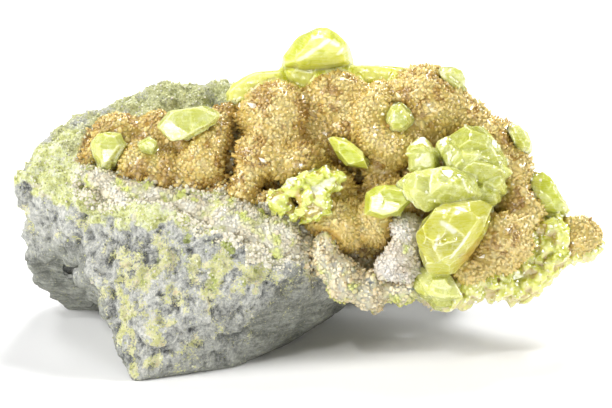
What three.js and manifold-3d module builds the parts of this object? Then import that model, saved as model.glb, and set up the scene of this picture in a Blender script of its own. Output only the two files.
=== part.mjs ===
// Native sulfur specimen: sulfur crystals and honey coloured calcite druses grown on a piece of grey
// limestone, standing on the broken base of the limestone.
//
// Units are millimetres, +Z is up. +X runs along the specimen's length towards the overhanging ledge,
// -Y is the crystal covered face. The origin is the centre of the footprint box, on the surface that
// the stone stands on.
//
// Each mineral body is a separate solid:
//   the limestone is a union of convex fracture blocks, cut flat where it stands;
//   each druse is a union of knobbly calcite balls;
//   each sulfur crystal, or group of crystals grown into each other, is a union of convex crystals.
// Every solid sits in a socket cut in the body that carries it, with a gap of SOCKET_GAP all round.
import * as THREE from "three";
import { ConvexGeometry } from "three/addons/geometries/ConvexGeometry.js";
import { mergeVertices } from "three/addons/utils/BufferGeometryUtils.js";
import Module from "manifold-3d";

const SOCKET_GAP = 0.33; // between two bodies that touch in the real stone
const SHARPEST = 0.3; // limits how far a sharp corner of a socket runs out
const BALL_LUMPS = 0.07; // how far a druse ball's surface strays from its ellipsoid, as a share of its radius
const FLOOR_BLOCK = 400; // size of the block that trims the stone flat at z = 0

// Corners of the convex blocks that make up the limestone.
const ROCK_LUMPS = {
  front_buttress: [[-27.5, -24.2, 0], [-26.4, -24.9, 0], [-20.7, -21.8, 0], [-11.3, -18.9, 0], [-7.9, -14.8, 0], [-2.8, -8.3, 0], [-6.1, 9, 0], [-24.1, 11, 0], [-32.6, 7, 0], [-31.1, 0, 0], [-27.9, -23.4, 2.9], [-29.6, -20.5, 4.3], [-31.4, -16, 8.2], [-33.3, -14, 12.8], [-35.9, -11.5, 19.2], [-36.2, -10, 22.5], [-24.6, -24.6, 5.7], [-20.9, -23.6, 9], [-14.3, -21.6, 9.2], [-8.2, -19.5, 9.1], [-30.9, -13, 25.1], [-24.4, -16, 25], [-15.8, -18, 21.4], [-8, -19.2, 17.8], [-7, -19.6, 13.3], [-28.1, 9, 27], [-8.1, 7, 30]],
  front_shoulder: [[-14.3, -21, 9], [-8.2, -19.8, 9.4], [-0.1, -14.5, 10.5], [5, -8, 7.5], [-1, -17.5, 17.2], [-8, -18.6, 19.6], [-15.9, -17.2, 22.1], [-11.3, -18, 1.5], [-7.9, -14.8, 0], [-2.8, -8.3, 0], [-0.1, -2.8, 0], [3.2, 3.3, 0], [6.6, 9.1, 0], [3.9, 15, 0], [-12.1, 13, 0], [1.8, -14, 16], [3.7, -11, 13.6], [5.9, 3, 24], [-10.1, 3, 26], [7.9, 9, 20]],
  left_tip: [[-47, -2.5, 26.3], [-46.1, -1.5, 27], [-46.9, -2.4, 24.2], [-46.1, -1.8, 21.3], [-44.5, -3, 21.7], [-41.8, -4, 27.1], [-42.8, -1, 28.8], [-42.6, 3, 20.8], [-45.1, 5, 24.3]],
  left_lobe: [[-46.1, -1.5, 26], [-46.1, -1.8, 21.3], [-46, -1.4, 18.8], [-45.4, -1, 16.8], [-45.4, -0.6, 13.4], [-45.6, 0.4, 9.8], [-45, 2.5, 5.9], [-43.7, 4.5, 3.4], [-42, 6.5, 1.7], [-40.1, 7.7, 0], [-35.4, 7.2, 0], [-32.1, 7.6, 0], [-39.1, 13, 0], [-33.1, 19, 0], [-28.1, 15, 0], [-39.2, -6.5, 27.2], [-39, -7.4, 21.6], [-39.9, -5.8, 16], [-38.4, -2.5, 9.6], [-35.9, 2, 4.5], [-44, 3, 29.3], [-43.1, 12, 22], [-43.1, 14, 12], [-38.1, 19, 26], [-34.1, 20, 30], [-30.1, 5, 28]],
  left_saddle: [[-39.2, -7, 27], [-39.3, -7.6, 21.9], [-39.8, -6.2, 16.5], [-37.4, -8.6, 15.8], [-35.3, -11.6, 17.2], [-36, -10.4, 22.5], [-34.2, -10.2, 26.7], [-35.6, -8.5, 11.7], [-33, -10, 8.2], [-37.9, -4.5, 11.3], [-36.9, -2, 7], [-38.4, 1, 21.4], [-35.5, 1, 7.7], [-31.4, -11, 7], [-31.1, 4, 2]],
  left_crown: [[-43.9, 2.5, 30], [-42.2, 4, 31.9], [-40.5, 5, 32.6], [-38.1, 5.5, 33.5], [-35.5, 6.5, 34.8], [-32.8, 7.5, 35.5], [-46.1, -1, 26.6], [-38.9, -5.6, 28.3], [-34.3, -8.5, 27.8], [-32.7, -10.5, 22.7], [-39.3, -6.8, 23.1], [-41.1, 15, 25], [-36.1, 19.5, 28], [-30.1, 20, 31], [-26.1, 11, 34], [-25.1, -5, 26], [-38.1, 3, 14], [-30.1, -1, 12]],
  upper_body: [[-35.6, 7, 34.5], [-32.9, 8, 35.4], [-29.6, 8.8, 36.6], [-27.2, 9.5, 37.6], [-24, 10.2, 38.2], [-20.5, 10.6, 38.2], [-17.3, 10.2, 37.9], [-15.1, 9.6, 37], [-12.2, 8, 34.9], [-7.2, 6, 34.2], [-32.6, -11, 24.5], [-24.6, -14, 24.6], [-15.9, -15.5, 22.2], [-8.1, -16, 20.3], [-1, -14.5, 18.2], [-29.9, -1.5, 32.3], [-17.1, -1.5, 32.3], [-5.9, -2.4, 30.9], [-31.1, 20, 28], [-22.1, 22, 33], [-6.1, 22, 33.5], [3.9, 20, 31], [7.9, 13, 33], [-30.1, 22, 10], [-4.1, 23.5, 12], [7.9, 20, 14], [-20.1, 15, 4], [-0.1, 3, 8]],
  right_carrier: [[-0.3, -11, 13.6], [5.3, -11, 13.3], [14.9, -10, 11.6], [24.5, -8.5, 11.4], [31.8, -6.5, 13.4], [33, -4, 18], [31.9, -2, 24.1], [28.9, 1, 29.9], [24, 5, 35.1], [15.1, 6, 36.5], [3.8, 6, 36.2], [-2.7, 5.5, 35], [-0.1, 17, 36], [11.9, 16, 36], [23.9, 12, 33], [30.9, 9, 27], [33.9, 4, 20], [30.9, 5, 13], [19.9, 13, 10], [3.9, 19, 12]],
  crest_block: [[-10.1, 7, 36.8], [-10.1, 12, 35.5], [-0.1, 5, 38.6], [-0.1, 14, 37], [13.9, 5, 38.6], [13.9, 13, 37], [17.9, 9, 36], [-12.1, 15, 32], [15.9, 16, 32], [-12.1, 3, 32], [15.9, 1, 32], [3.9, 17, 34]],
  right_wing: [[31.1, -5, 12.9], [38.5, -3.5, 12.4], [42.7, -2, 13.9], [42.9, -2, 15.9], [39, -1, 19.7], [32.8, -1, 22.1], [39.9, 1, 19.5], [37.9, 3, 16.5], [39.9, -2, 16], [29.9, 6, 14], [33.9, 5, 23], [25.9, -1, 14]],
  rear_foot: [[7.9, 10.6, 0], [14.9, 12, 0], [23.9, 13.4, 0], [24.9, 17, 0], [16.9, 20, 0], [3.9, 20.5, 0], [-0.1, 13, 0], [26.9, 10, 9], [28.9, 12, 14], [23.9, 15.5, 14], [3.9, 20, 16], [1.9, 7, 12], [19.9, 4, 13]],
  rear_step: [[-26.1, 21, 0], [-8.1, 23.5, 0], [-3.1, 21, 0], [-30.1, 15, 0], [-2.1, 11, 0], [-28.1, 22.5, 13], [-6.1, 25, 14], [-24.1, 19, 22], [-4.1, 20, 21], [-28.1, 11, 14], [-0.1, 11, 14]],
};
const ROCK_NOTCHES = {
  left_notch: [[-39.8, -8, 12.1], [-34.1, -11, 15.8], [-34.9, -9, 13.3], [-39.3, -7, 10.7], [-38.7, 1, 10.4], [-35.1, -2, 11.8], [-38.4, 1, 8.4], [-35.6, -1, 10.1]],
};
const DRUSE_BALLS = {
  honey_druse_left: [
    { at: [-16.5, -5.5, 29.7], radii: [4, 4.8, 5.9], seed: 3, detail: 2 },
    { at: [-14.8, -2.9, 33.1], radii: [3.4, 3.5, 3.9], seed: 4, detail: 1 },
    { at: [-26.5, -4.7, 29.6], radii: [4.5, 4, 3.7], seed: 5, detail: 1 },
    { at: [-22, -6, 28.7], radii: [3, 3.2, 3.5], seed: 6, detail: 1 },
    { at: [-30.6, 0.1, 33.9], radii: [4.2, 3.4, 2.7], seed: 7, detail: 1 },
    { at: [-23.6, 0.3, 33.1], radii: [3.8, 3.8, 4], seed: 8, detail: 1 },
    { at: [-34, -2.9, 30.8], radii: [2.1, 2.3, 2.7], seed: 9, detail: 1 },
    { at: [-13.1, 1, 35.6], radii: [3.2, 2.8, 2.5], seed: 10, detail: 1 },
    { at: [-28.7, -0.6, 30.7], radii: [7, 2.8, 4], seed: 12, detail: 1 },
    { at: [-19.3, -1.2, 30.6], radii: [6.4, 3.4, 5.7], seed: 13, detail: 1 },
  ],
  honey_druse_centre: [
    { at: [-4.7, -0.8, 35.8], radii: [6.2, 6.1, 6.2], seed: 21, detail: 2 },
    { at: [4.9, 0.8, 38.3], radii: [5.3, 5.1, 5.2], seed: 22, detail: 2 },
    { at: [-7.1, -6.1, 31.1], radii: [4.8, 4.6, 4.5], seed: 23, detail: 1 },
    { at: [-1.1, -6.4, 29.5], radii: [5.1, 4.6, 4.4], seed: 24, detail: 1 },
    { at: [7.3, -1.9, 34.1], radii: [4.3, 4.1, 4], seed: 25, detail: 1 },
    { at: [11.7, -5.3, 30.2], radii: [4.2, 3.8, 3.7], seed: 26, detail: 1 },
    { at: [3.7, -7.5, 26.5], radii: [4.5, 4, 3.7], seed: 27, detail: 1 },
    { at: [-9.6, -8.1, 26.7], radii: [2.9, 3, 3.4], seed: 28, detail: 1 },
    { at: [6.2, -10.5, 22.5], radii: [5.1, 4.3, 3.7], seed: 29, detail: 1 },
    { at: [12.3, -6.9, 25.7], radii: [3.8, 3.7, 3.7], seed: 31, detail: 1 },
    { at: [-0.3, -0.6, 30.4], radii: [10.6, 4.4, 7.7], seed: 32, detail: 1 },
  ],
  honey_druse_right: [
    { at: [19.3, 1, 37.6], radii: [7.2, 6.8, 6.7], seed: 41, detail: 2 },
    { at: [15.2, -1.3, 35.9], radii: [4.2, 4.2, 4.4], seed: 42, detail: 1 },
    { at: [25.1, -0.5, 34.7], radii: [4.5, 4.6, 5], seed: 43, detail: 1 },
    { at: [30, -2.3, 32.4], radii: [4.6, 4.5, 4.5], seed: 44, detail: 1 },
    { at: [32.1, -5.5, 28.2], radii: [4.5, 4.4, 4.5], seed: 45, detail: 1 },
    { at: [33.2, -9.1, 24], radii: [3.5, 3.7, 4], seed: 46, detail: 1 },
    { at: [30.1, -15.5, 20.5], radii: [4.3, 4.3, 4.5], seed: 47, detail: 1 },
    { at: [22.3, -3.4, 29.6], radii: [4.8, 4.3, 4], seed: 48, detail: 1 },
    { at: [25.3, -15.7, 16.9], radii: [3.8, 3.5, 3.4], seed: 50, detail: 1 },
    { at: [21.2, -8.4, 25.1], radii: [5.4, 4.8, 4.4], seed: 52, detail: 1 },
    { at: [26.2, -1.8, 29.1], radii: [7.7, 4, 8.4], seed: 49, detail: 1 },
  ],
  honey_druse_tip: [
    { at: [43.9, -9.1, 19.4], radii: [2.7, 2.8, 3], seed: 61, detail: 1 },
    { at: [42.6, -10.5, 18], radii: [1.9, 1.9, 2], seed: 63, detail: 1 },
  ],
  pale_calcite_band: [
    { at: [-32.6, -7.7, 27.3], radii: [3.2, 2.8, 2.5], seed: 71, detail: 1 },
    { at: [-28.3, -9.2, 25.9], radii: [3.5, 3, 2.5], seed: 70, detail: 1 },
    { at: [-23.5, -10.2, 25.1], radii: [3.7, 3, 2.5], seed: 72, detail: 1 },
    { at: [-18.5, -11.6, 23.9], radii: [3.7, 3.1, 2.7], seed: 74, detail: 1 },
    { at: [-13.6, -13, 22.5], radii: [3.8, 3.4, 3], seed: 75, detail: 1 },
    { at: [-8.9, -13.8, 21.6], radii: [3.7, 3.5, 3.5], seed: 76, detail: 1 },
    { at: [-4.2, -14.4, 20.1], radii: [3.7, 3.8, 4.2], seed: 77, detail: 1 },
    { at: [-11.2, -10.3, 24.1], radii: [3.2, 2.7, 2.4], seed: 79, detail: 1 },
  ],
  peach_calcite_ledge: [
    { at: [3, -14.8, 17.3], radii: [2.9, 3.4, 4.2], seed: 81, detail: 1 },
    { at: [6, -15.8, 13.6], radii: [3.5, 3.8, 4.2], seed: 82, detail: 1 },
    { at: [10.3, -15.6, 11.9], radii: [3.5, 3.5, 3.7], seed: 83, detail: 1 },
    { at: [15, -15.2, 12.1], radii: [3.5, 3.2, 3], seed: 84, detail: 1 },
    { at: [11.1, -14.7, 8.7], radii: [1.6, 1.5, 1.5], seed: 87, detail: 1 },
    { at: [20.2, -14.4, 10.1], radii: [3.2, 2.6, 2], seed: 88, detail: 1 },
  ],
  white_calcite_knob: [
    { at: [15.8, -14, 21.6], radii: [3.2, 3, 2.9], seed: 91, detail: 1 },
    { at: [14.9, -16.2, 17.8], radii: [3.2, 3.4, 3.7], seed: 92, detail: 1 },
  ],
};
const CRYSTALS = {
  sulfur_dome_crystal: [
    [[-1.7, 1.9, 44.6], [-1.4, 1.6, 45.7], [-1, 1.5, 46.3], [0.1, 1, 47.4], [0.7, 1.1, 48.5], [1.8, 1.1, 49.2], [3.2, 1, 48.6], [4.1, 1.1, 48], [5, 1.1, 47.2], [5.6, 1.4, 46.7], [5.9, 1.7, 45.6], [6.1, 1.9, 44.4], [4.6, 2.3, 44.1], [0.4, 2, 43.6], [-4.3, 5.7, 42.6], [-3.7, 5.6, 44.3], [-2.6, 5.4, 45.1], [-1.8, 5, 47.3], [-0, 4.4, 48.4], [1.6, 4.4, 49.3], [3.1, 4.3, 49.4], [5.2, 4.4, 48.1], [6.1, 4.6, 47.4], [6.9, 5.2, 45.8], [7.3, 5.6, 44.2], [7.7, 5.7, 42.6], [4.9, 5.9, 41.9], [-0.9, 6, 41.7], [-2.7, 10.9, 42], [-2.1, 10.4, 43.5], [-1.7, 10.3, 44.2], [-0.7, 10, 45.3], [0.2, 9.9, 46.3], [1.7, 9.7, 47.1], [3.2, 9.8, 46.9], [4.5, 9.8, 46], [5.5, 10.3, 45.3], [5.7, 10.5, 44.6], [6, 10.8, 43.5], [6.3, 10.9, 41.8], [4.1, 11.3, 41.2], [-0.1, 11, 41.3]],
  ],
  sulfur_slab_crystal: [
    [[-2.9, 3.4, 42.5], [2.1, 3.3, 43], [7.3, 3.5, 43.3], [11.7, 3.4, 43.2], [15.1, 3.4, 42.7], [14.5, 3.1, 41.1], [12.9, 3.1, 39.2], [8.4, 3, 38], [2.1, 3, 37.9], [-2.7, 3.1, 38.4], [-3.9, 5.3, 42], [1.8, 5.4, 42.6], [7.5, 5.3, 42.8], [12.2, 5.4, 42.8], [16, 5.4, 42.4], [15, 5.2, 40.6], [13.8, 5, 38.5], [8.6, 4.9, 37.4], [1.7, 4.8, 37], [-3.5, 5, 37.5], [-2.9, 10, 40.6], [2.4, 9.9, 41.1], [7.5, 10.1, 41.3], [11.8, 9.9, 41.4], [15.1, 9.9, 40.9], [14.5, 9.7, 39.1], [13, 9.6, 37.4], [8.7, 9.5, 36.4], [2.3, 9.6, 36], [-2.6, 9.6, 36.6]],
    [[-12.4, 2.6, 39.2], [-11.5, 2.6, 40.1], [-9.8, 2.7, 41.1], [-9.4, 2.8, 41.6], [-8.1, 2.8, 42.2], [-4.3, 2.7, 42.4], [-3.3, 2.8, 41], [-3.7, 2.5, 38.2], [-7.2, 2.4, 37.1], [-10.3, 2.3, 37.4], [-12.3, 2.4, 38], [-13, 4.7, 38.3], [-12.1, 5, 39.7], [-9.9, 5, 40.6], [-9.5, 5.1, 41.3], [-8.1, 5, 41.8], [-3.7, 5.1, 42.2], [-2.4, 4.9, 40.5], [-3.1, 4.6, 37.2], [-7.2, 4.4, 36.1], [-10.7, 4.5, 36.3], [-12.9, 4.5, 37], [-12.4, 9, 37.4], [-11.8, 9, 38.5], [-9.7, 9.2, 39.2], [-9.3, 9.1, 39.9], [-8.2, 9.3, 40.3], [-4.4, 9.2, 40.7], [-3.3, 9.1, 39.1], [-3.8, 8.8, 36.3], [-7.5, 8.8, 35.3], [-10.6, 8.7, 35.5], [-12.4, 8.8, 36.1]],
  ],
  sulfur_left_plate_crystal: [
    [[-22.8, -8.2, 36.7], [-21.9, -7.8, 37.9], [-21, -7.3, 38.6], [-19.4, -7.1, 39], [-17.9, -6.9, 39.2], [-15.7, -6.7, 39], [-14.3, -6.8, 38], [-14.8, -7.2, 37.1], [-16.6, -7.5, 36.5], [-17.5, -7.6, 36], [-18.3, -8.1, 35.4], [-19.4, -8.3, 34.7], [-21, -8.6, 34.6], [-22.2, -8.4, 35.6], [-23.6, -7.2, 36.2], [-22.6, -6.6, 37.7], [-21.5, -6.3, 38.5], [-19.8, -5.8, 38.8], [-17.6, -5.6, 39.1], [-15.1, -5.2, 38.9], [-13.6, -5.4, 37.8], [-14.3, -5.8, 36.6], [-16, -6.1, 36.1], [-17.3, -6.5, 35.5], [-18.6, -6.9, 34.9], [-19.7, -7.4, 34.1], [-21.4, -7.7, 33.9], [-22.9, -7.5, 35], [-22.4, -4, 35.4], [-21.7, -3.4, 36.6], [-21, -3.1, 37.1], [-19.6, -3.1, 37.3], [-18.2, -2.8, 37.6], [-16.4, -2.6, 37.4], [-15.1, -2.7, 36.7], [-15.7, -2.9, 35.8], [-16.9, -3.2, 35.5], [-17.7, -3.5, 34.9], [-18.5, -3.8, 34.5], [-19.6, -3.9, 34], [-21, -4.1, 33.9], [-21.8, -4.2, 34.5]],
  ],
  sulfur_left_small_crystal: [
    [[-33, -6.6, 32.9], [-32.6, -6, 33.6], [-31.3, -6, 34.2], [-30, -6.2, 33.8], [-29.6, -6.5, 32.8], [-30.5, -6.6, 32.2], [-30.9, -7, 31.6], [-31.4, -7.3, 30.5], [-32.4, -7.3, 30.4], [-32.7, -6.8, 31.9], [-34.2, -5.1, 32.8], [-33.1, -4.5, 34.4], [-31.5, -4.5, 34.6], [-29.4, -4.5, 34.4], [-28.8, -5, 32.9], [-29.9, -5.5, 31.4], [-30.9, -5.6, 30.5], [-31.4, -6.2, 28.8], [-32.9, -6.3, 28.7], [-33.6, -5.5, 31], [-33.5, -2.7, 31.7], [-33, -2.2, 32.9], [-31.6, -2.3, 33.1], [-30.3, -2.2, 33], [-29.7, -2.7, 31.7], [-30.4, -2.8, 30.8], [-31.3, -3.1, 30.3], [-31.8, -3.6, 29.2], [-32.7, -3.5, 29.1], [-33.1, -2.9, 30.5]],
  ],
  sulfur_left_bead_crystal: [
    [[-25.8, -7.2, 33.5], [-25.4, -7.1, 34], [-24.8, -7, 34], [-24.1, -7.2, 33.7], [-23.9, -7.3, 33.2], [-24.4, -7.5, 32.8], [-25.3, -7.3, 32.6], [-26.5, -6.2, 33.2], [-25.8, -6.1, 34], [-24.6, -6, 34.3], [-23.6, -6, 33.7], [-23.6, -6.3, 32.8], [-24.3, -6.6, 31.8], [-25.9, -6.6, 32], [-26.2, -4.5, 32.8], [-25.7, -4.3, 33.3], [-24.7, -4.4, 33.5], [-24.1, -4.5, 33], [-24.1, -4.8, 32.2], [-24.6, -4.9, 31.8], [-25.6, -4.8, 31.8]],
  ],
  sulfur_lens_crystal: [
    [[4.5, -10.2, 34.6], [5, -10.3, 34.8], [6.8, -10.9, 34.2], [7.7, -11.2, 33.6], [8.6, -11.8, 32.8], [8.8, -12.1, 31.9], [7.5, -11.8, 31.8], [6.4, -11.6, 31.7], [5.6, -11.2, 32.7], [4.8, -10.6, 33.4], [3.4, -7.7, 34.4], [4.5, -7.9, 34.9], [6.9, -8.4, 34.2], [8.4, -9.4, 33.3], [9.5, -9.8, 31.8], [9.7, -10.3, 30.3], [8.3, -10, 30.4], [6.5, -9.8, 30.4], [4.9, -8.9, 31.9], [3.9, -8.4, 33], [4.9, -4.5, 32.4], [5.4, -4.4, 32.6], [6.6, -4.8, 32.4], [7.7, -5.4, 31.8], [8.5, -5.8, 30.8], [8.7, -5.9, 29.9], [7.7, -5.8, 30], [6.7, -5.5, 30], [5.6, -5.2, 30.8], [4.9, -4.9, 31.5]],
  ],
  sulfur_recess_crystal: [
    [[13.1, -8, 38.4], [13.4, -7.9, 39.1], [14.4, -7.8, 39.3], [15.3, -8, 38.4], [15.9, -8.2, 37.7], [15.4, -8.6, 36.6], [14.4, -8.6, 36.3], [13.4, -8.3, 37], [12.9, -8.3, 37.5], [12.7, -5.7, 38.3], [13.1, -5.4, 39.3], [14.7, -5.3, 39.6], [16.1, -5.7, 38.3], [16.8, -6, 36.9], [15.9, -6.5, 35.4], [14.4, -6.6, 34.8], [12.7, -6.3, 35.6], [12.2, -6.1, 36.9], [13.3, -1.5, 36.6], [13.5, -1.4, 37.3], [14.7, -1.2, 37.6], [15.9, -1.5, 36.8], [16.4, -1.7, 35.7], [15.8, -2.2, 34.7], [14.7, -2.1, 34.4], [13.3, -2, 34.8], [13, -1.7, 35.6]],
  ],
  sulfur_centre_cluster: [
    [[-3.3, -15.4, 28.7], [-1.9, -15.1, 29.8], [-0.6, -14.8, 30.3], [1.2, -14.4, 31.1], [3.5, -14.2, 31.2], [4.7, -14.5, 30.2], [4.2, -15, 28.9], [2.5, -15.3, 28.1], [-0.1, -15.5, 28.3], [-2.2, -15.7, 28], [-4.7, -13.7, 27.9], [-2.8, -13.3, 29.1], [-0.9, -12.6, 30.1], [1.4, -12.1, 31], [4.7, -12.1, 31.2], [6.1, -12.4, 30], [5.5, -13.1, 28.2], [3.1, -13.5, 26.9], [-0.4, -13.8, 27.1], [-3.2, -14.1, 26.8], [-2.6, -10, 27.2], [-1.4, -9.6, 27.9], [-0.4, -9.4, 28.5], [1.3, -9.1, 29], [3.1, -8.8, 29], [4, -9.1, 28.3], [3.6, -9.6, 27.3], [2.1, -9.8, 26.7], [0.2, -10.1, 26.8], [-1.6, -10.2, 26.5]],
    [[-0.6, -16.9, 27.7], [0.1, -16.7, 28.6], [1.7, -16.5, 28.8], [2.8, -16.8, 28.4], [3.2, -17.5, 26.3], [1.9, -17.8, 25.2], [0.2, -18, 24.7], [-0.7, -17.5, 25.7], [-1.5, -14.6, 27], [-0.5, -14.3, 28.5], [1.7, -14, 28.7], [3.5, -14.5, 28.1], [4.4, -15.3, 25.1], [2.1, -15.6, 23.9], [-0.4, -15.9, 23.1], [-1.5, -15.6, 24.5], [-0.6, -10.5, 25.4], [0.2, -10.1, 26.5], [1.7, -10.1, 26.6], [2.8, -10.2, 26.1], [3.3, -10.8, 24.2], [1.8, -11.1, 23.1], [0.2, -11.4, 22.7], [-0.6, -11.1, 23.7]],
    [[-5.7, -15.6, 26.7], [-5.2, -15.4, 27.6], [-4, -15.2, 28], [-2.9, -15.5, 27.6], [-1.9, -15.9, 26.4], [-1.8, -16.5, 24.2], [-2.9, -16.2, 24.8], [-3.5, -16.3, 25.1], [-4.9, -16.2, 25.5], [-6.6, -14, 26.3], [-6, -13.3, 27.6], [-4.3, -13.3, 28.2], [-2.5, -13.5, 27.8], [-1.3, -13.9, 25.7], [-0.7, -14.8, 23], [-2.7, -14.7, 23.5], [-3.7, -14.5, 24.2], [-5.5, -14.3, 24.6], [-5.4, -10.7, 24.9], [-5.1, -10.3, 25.7], [-4.2, -10.4, 26.2], [-2.8, -10.4, 25.8], [-2.2, -10.7, 24.6], [-2, -11.3, 23], [-3.2, -11.3, 23.2], [-3.5, -11.1, 23.7], [-4.8, -11.1, 23.7]],
  ],
  sulfur_mid_crystal: [
    [[9.9, -17.3, 27.9], [11.4, -17.1, 28.9], [13, -16.9, 29.4], [14.8, -16.9, 28.7], [15.7, -17.3, 27.3], [14.2, -17.8, 25.7], [12.1, -18, 25.1], [9.7, -17.8, 25.6], [9.2, -15.1, 27.8], [11, -14.9, 28.9], [13.1, -14.7, 29.1], [15.7, -14.9, 28.6], [16.5, -15.4, 26.7], [14.5, -16.1, 24.7], [11.8, -16.1, 23.9], [9, -16.1, 24.5], [10.7, -11.8, 26.1], [11.8, -11.6, 26.9], [13.1, -11.5, 27.1], [14.6, -11.7, 26.8], [15.1, -11.9, 25.5], [14, -12.1, 24.4], [12.3, -12.5, 24], [10.5, -12.3, 24.1]],
  ],
  sulfur_right_cluster: [
    [[16.1, -12.8, 34.1], [16.2, -12.8, 34.4], [18.2, -12.8, 34.8], [19.5, -13, 34], [19.9, -13.3, 33], [20, -13.7, 31.3], [18.1, -13.9, 30.8], [16.3, -13.6, 31.2], [15.8, -11.4, 33.9], [16, -11.2, 34.4], [18.2, -11.2, 34.8], [20, -11.3, 33.8], [20.6, -11.8, 32.4], [20.5, -12.2, 30.2], [18.1, -12.5, 29.6], [15.8, -12.2, 30.4], [16.7, -7, 31.8], [17, -6.8, 32.2], [18.3, -6.9, 32.6], [19.5, -6.9, 31.8], [19.8, -7.1, 31.1], [19.9, -7.6, 29.9], [18.3, -7.7, 29.3], [17.1, -7.5, 29.9]],
    [[21.3, -12.3, 33.3], [22, -12.2, 34.4], [22.6, -11.9, 34.8], [23.9, -11.9, 35], [24.3, -12.4, 32.8], [23.5, -12.9, 31.4], [21.9, -13, 31.2], [20.9, -10.4, 32.9], [21.7, -10, 34.1], [22.8, -9.7, 34.9], [24.5, -9.6, 34.9], [25.2, -10.7, 31.6], [24.2, -11, 29.9], [21.7, -10.9, 29.7], [21.9, -6.2, 31.4], [22.3, -6.3, 32.3], [23.1, -6, 33], [23.9, -6, 33], [24.5, -6.5, 30.8], [23.9, -6.9, 29.7], [22.4, -6.9, 29.8]],
    [[24.4, -13.6, 35.3], [24.9, -13.3, 36.1], [25.7, -13, 36.6], [26.9, -13.1, 36.6], [28.3, -13, 35.6], [29.4, -13.2, 34.1], [30.2, -13.6, 32.4], [30.4, -14.4, 28.9], [29.3, -14.7, 28.5], [27.6, -14.7, 29.3], [25.4, -14.7, 31.1], [24.6, -14.4, 33.1], [23.5, -11.7, 35.3], [24.4, -11.3, 36.3], [25.5, -10.9, 37.2], [27, -10.8, 37.2], [28.8, -10.9, 35.6], [30.2, -11, 33.7], [31.1, -11.4, 31.6], [31.5, -12.5, 26.6], [29.9, -12.7, 26.5], [27.9, -12.9, 27.4], [25.1, -12.7, 29.7], [23.9, -12.2, 32.3], [25.4, -6.8, 32.7], [25.9, -6.5, 33.4], [26.5, -6.2, 33.8], [27.5, -6.2, 33.9], [28.7, -6.2, 33], [29.4, -6.5, 31.8], [30, -6.7, 30.5], [30.3, -7.4, 27.4], [29.3, -7.3, 27.1], [28.1, -7.4, 27.7], [26.2, -7.3, 29.3], [25.4, -7.2, 30.8]],
    [[16.5, -18.3, 30], [17.5, -18, 31.4], [19.7, -17.8, 31.8], [22.5, -17.6, 32.1], [24.8, -18.1, 30.8], [25.5, -18.5, 28.9], [24.6, -19, 27.8], [21.8, -19.1, 27.3], [18.9, -19, 27.4], [17.3, -18.8, 28.5], [14.7, -15.7, 29.3], [16.3, -15, 31.3], [19.3, -14.8, 31.9], [23.2, -14.6, 32], [26.5, -15.3, 30.3], [27.3, -16.2, 27.8], [26.1, -16.5, 26.3], [22.3, -16.9, 25.5], [18.4, -16.8, 25.9], [15.7, -16.2, 27.3], [17.2, -10.7, 27.5], [17.9, -10.5, 28.7], [19.9, -10.1, 29.2], [22.9, -10.1, 29.5], [24.9, -10.5, 28.2], [25.4, -11.1, 26.5], [24.5, -11.4, 25.7], [22.3, -11.6, 25.1], [19.4, -11.5, 25.4], [17.6, -11.4, 26.1]],
    [[27, -15.3, 28.5], [27.6, -15.4, 29], [28.2, -15.5, 28.1], [28.9, -15.7, 26.9], [28, -15.8, 26.3], [27, -15.7, 26.9], [26.6, -13.4, 28.6], [27.6, -13.1, 29.4], [28.6, -13.6, 27.8], [29.8, -14.1, 25.8], [28.3, -14.4, 24.9], [26.7, -14.1, 25.8], [27.3, -10.5, 26.9], [28, -10.1, 27.3], [28.8, -10.6, 26.5], [29.3, -10.8, 25.2], [28.4, -10.9, 24.8], [27.4, -10.8, 25.2]],
  ],
  sulfur_front_crystal: [
    [[18.3, -24.1, 23.7], [18.5, -23.9, 24.8], [19.2, -23.6, 25.6], [20.5, -23.4, 26.2], [22, -23.1, 26.7], [24.8, -22.8, 27.3], [25.8, -22.4, 26.7], [26.2, -22.6, 25.8], [25, -22.9, 24.5], [24.3, -23.2, 23.3], [23.7, -23.6, 21.8], [22.3, -24.2, 20.3], [20.5, -24.3, 19.6], [19.5, -24.1, 20.5], [18.6, -24.2, 22.4], [17.5, -20, 21.9], [17.4, -19.6, 23.8], [18.6, -19.5, 25], [20, -18.9, 26.2], [23.1, -18.5, 27.1], [26.6, -18.1, 27.5], [28.8, -18.1, 26.8], [28.9, -18.2, 25.4], [27.7, -18.8, 23.6], [26.9, -19.4, 21.4], [25.4, -19.7, 19.1], [23.5, -20.2, 16.8], [20.8, -20.7, 16.3], [18.6, -20.8, 17.1], [17.4, -20.3, 19.8], [19.2, -14.3, 20.1], [19.5, -14.3, 21.8], [20.2, -14, 22.5], [21.2, -13.5, 23.6], [23.3, -13.4, 23.9], [25.8, -13.2, 24.3], [27.2, -13, 23.7], [27.4, -12.9, 23], [26.6, -13.3, 21.5], [25.7, -13.8, 20.1], [25, -14.3, 18], [23.3, -14.6, 16.9], [21.6, -15, 16.4], [20.2, -14.8, 16.8], [19.1, -14.8, 19]],
  ],
  sulfur_lower_crystal: [
    [[18.9, -20.6, 13.7], [19.3, -20.6, 14.6], [19.7, -20.5, 15.3], [21.4, -20.7, 15.5], [22.3, -20.7, 14.2], [21.5, -20.5, 12.8], [20.3, -20.6, 12.6], [18.5, -18.5, 12.6], [19, -18.6, 14.1], [19.4, -18.5, 15.3], [21.9, -18.4, 15.4], [23, -18.5, 13.4], [22, -18.4, 11.5], [20.6, -18.5, 11.2], [19.1, -14.6, 11.4], [19.6, -14.6, 12.5], [20, -14.5, 13.3], [21.7, -14.5, 13.4], [22.6, -14.5, 12.2], [21.7, -14.7, 10.9], [20.5, -14.5, 10.6]],
  ],
  sulfur_edge_crystal: [
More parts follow.
